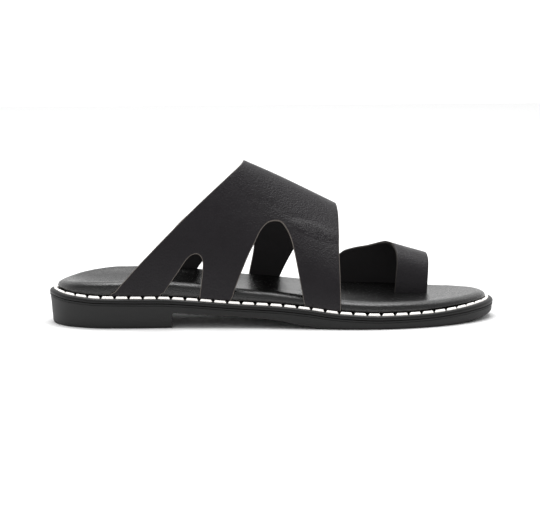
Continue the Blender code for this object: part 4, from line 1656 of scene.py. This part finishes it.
@dataclass
class ToeLoop(Leather):
    """The toe loop: up through the footbed's slot, over the big toe and under the medial edge."""

    slot_across: float = 4.0 * MM
    slot_rear: float = 74.2 * MM
    slot_length: float = 18.6 * MM
    crest_across: float = 24.0 * MM
    rear_height: float = 40.6 * MM
    front_height: float = 35.0 * MM
    rear_inner: Rows = (
        # along, up
        (0.2765, 0.250), (0.2810, 0.550), (0.2850, 0.760), (0.2840, 0.900), (0.2780, 0.985),
        (0.2700, 1.020),
    )
    rear_outer: Rows = (
        # along, up
        (0.261, 0.974), (0.232, 0.913), (0.200, 0.873), (0.174, 0.812), (0.157, 0.655),
        (0.152, 0.420), (0.150, 0.300),
    )
    front_inner: Rows = (
        # along, up
        (0.3505, 0.250), (0.3550, 0.550), (0.3590, 0.760), (0.3590, 0.840),
    )
    front_outer: Rows = (
        # along, up
        (0.3575, 0.840), (0.3530, 0.735), (0.341, 0.560), (0.330, 0.400), (0.322, 0.280),
    )

    def foot_y(self, x: float, side: Side) -> float:
        """Gives Y of the arch's foot.

        Args:
            x: A place along the shoe.
            side: The side of the foot.

        Returns:
            Y there.
        """
        if side is Side.LATERAL:
            return self.slot_across
        return super().foot_y(x, side)

    def crest(self, x: float) -> Place:
        """Gives Y and Z of the crest's inner face.

        Args:
            x: A place along the shoe.

        Returns:
            Y and Z.
        """
        share = (x - self.slot_rear) / self.slot_length
        height = self.rear_height + share * (self.front_height - self.rear_height)
        return self.crest_across, height - self.thickness

    def outline(self) -> list[Place]:
        """Gives the loop's cut outline.

        Returns:
            The outline's places.
        """
        height = self.rear_height
        rear_up = self.edge_line(self.rear_inner, height, Side.LATERAL)
        rear_down = self.edge_line(self.rear_outer, height, Side.MEDIAL)
        front_down = self.edge_line(self.front_inner, height, Side.LATERAL)[::-1]
        front_up = self.edge_line(self.front_outer, height, Side.MEDIAL)[::-1]
        runs = [self.leg(rear_down, front_up, Side.MEDIAL), self.leg(front_down, rear_up, Side.LATERAL)]
        return joined(runs, self.edge_size * 0.1)

    def pockets(self) -> list[bpy.types.Object]:
        """Makes the cutters for the loop's two tabs and its slot.

        Returns:
            The cutters.
        """
        length, clearance = self.form.length, self.form.clearance
        inner = self.rear_inner[0][0] * length, self.front_inner[0][0] * length
        outer = self.rear_outer[-1][0] * length, self.front_outer[-1][0] * length
        start, end = inner[0] - self.tab_room, inner[1] + self.tab_room
        low, high = self.slot_across - self.thickness - clearance, self.slot_across + clearance
        top = self.rear_height
        slot = MeshDraft()
        outline = [(low, 0), (high, 0), (high, top), (low, top)]
        slot.tube([np.array([(x, y, z) for y, z in outline]) for x in (start, end)])
        return [self.pocket(*inner, Side.LATERAL), self.pocket(*outer, Side.MEDIAL), slot.piece("slot", [])]


# Studio


@dataclass
class Studio:
    """White paper, soft light from above and behind, and the photograph's view."""

    floor_size: float = 3.0
    floor_finish: StudioPaper = StudioPaper()
    camera_distance: float = 1.5
    camera_elevation: float = 8.3
    camera_azimuth: float = -5.0
    metres_per_pixel: float = 0.5888 * MM
    image_width: int = 540
    sensor_mm: float = 36.0
    target: tuple[float, float, float] = (-1.7 * MM, 0.0, 33.6 * MM)
    behind: float = 1.12
    before: float = 0.60
    room_from: float = -0.35
    room_to: float = 0.55
    softbox_place: tuple[float, float, float] = (0.0, 0.20, 1.35)
    softbox_size: float = 1.0
    softbox_power: float = 17.0

    def build(self) -> None:
        """Builds the floor, the light and the camera."""
        half = self.floor_size / 2
        draft = MeshDraft()
        draft.add_points(np.array([(-half, -half, 0), (half, -half, 0), (half, half, 0), (-half, half, 0)]))
        draft.add_face((0, 1, 2, 3))
        floor = draft.piece("floor", [self.floor_finish.material()], turn=False)
        self.add_world()
        self.add_softbox()
        self.add_camera()

    def add_world(self) -> None:
        """Makes the room: bright behind the sandal, dimmer on the near side."""
        world = bpy.data.worlds.new("studio")
        world.use_nodes = True
        bpy.context.scene.world = world
        tree = world.node_tree
        place = add_node(tree, "ShaderNodeTexCoord").outputs["Generated"]
        parts = add_node(tree, "ShaderNodeSeparateXYZ", {"Vector": place})
        limits = {
            "Value": parts.outputs["Y"],
            "From Min": self.room_from,
            "From Max": self.room_to,
            "To Min": self.before,
            "To Max": self.behind,
        }
        depth = add_node(tree, "ShaderNodeMapRange", limits, interpolation_type="SMOOTHSTEP")
        background = tree.nodes["Background"]
        background.inputs["Color"].default_value = (1, 1, 1, 1)
        tree.links.new(depth.outputs[0], background.inputs["Strength"])

    def add_softbox(self) -> None:
        """Adds a square area light above the sandal."""
        light = bpy.data.lights.new("top_softbox", "AREA")
        light.shape = "SQUARE"
        light.size = self.softbox_size
        light.energy = self.softbox_power
        self.aim("top_softbox", light, Vector(self.softbox_place))

    def aim(self, name: str, data: bpy.types.ID, place: Vector) -> bpy.types.Object:
        """Puts a light or a camera at a place and turns it to the target.

        Args:
            name: The object's name.
            data: The light or the camera.
            place: Where it stands.

        Returns:
            The object.
        """
        thing = bpy.data.objects.new(name, data)
        bpy.context.scene.collection.objects.link(thing)
        thing.location = place
        thing.rotation_euler = (Vector(self.target) - place).to_track_quat("-Z", "Y").to_euler()
        return thing

    def add_camera(self) -> None:
        """Adds the camera at the photograph's angle."""
        up, round_it = math.radians(self.camera_elevation), math.radians(self.camera_azimuth)
        back = Vector((math.sin(round_it) * math.cos(up), -math.cos(round_it) * math.cos(up), math.sin(up)))
        camera = bpy.data.cameras.new("camera")
        camera.sensor_width = self.sensor_mm
        camera.lens = self.sensor_mm * self.camera_distance / self.metres_per_pixel / self.image_width
        place = Vector(self.target) + back * self.camera_distance
        bpy.context.scene.camera = self.aim("camera", camera, place)


def hand_over(piece: bpy.types.Object, node: str | None) -> None:
    """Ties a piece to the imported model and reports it.

    Args:
        piece: The piece.
        node: The CAD node that it stands for, if any.
    """
    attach(piece, ROOT)
    if node:
        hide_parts(node)
    triangles = sum(len(polygon.vertices) - 2 for polygon in piece.data.polygons)
    LOG.info("%s: %d triangles", piece.name, triangles)


def main() -> None:
    """Builds the sandal piece by piece, then the studio."""
    logging.basicConfig(level=logging.INFO, format="%(name)s %(message)s")
    low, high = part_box("welt")
    form = SoleForm(length=high[0] - low[0], ball_width=high[1] - low[1])
    calf, lining = SmoothCalf().material(), BondedLining().material()
    bare_edge = CutLeatherEdge().material()
    dyed_edge = CutLeatherEdge("dyed_cut_edge", "#3d3835", low_colour="#1c1a19").material()
    strap = InstepStrap(form)
    loop = ToeLoop(form)

    hand_over(Outsole(form).build(), "outsole")
    welt = Welt(form)
    hand_over(welt.build(), "welt")
    hand_over(WeltStitching(form, welt.thread_path()).build(), None)
    pad = Footbed(form).build(strap.pockets() + loop.pockets())
    hand_over(pad, "footbed")
    upper = strap.build("instep_strap", strap.outline(), [calf, lining, bare_edge])
    hand_over(upper, "upper")
    toe_loop = loop.build("big_toe_loop", loop.outline(), [calf, lining, dyed_edge])
    hand_over(toe_loop, "toe_loop")
    Studio().build()
    bpy.context.scene.view_settings.view_transform = "Standard"


if __name__ == "__main__":
    main()
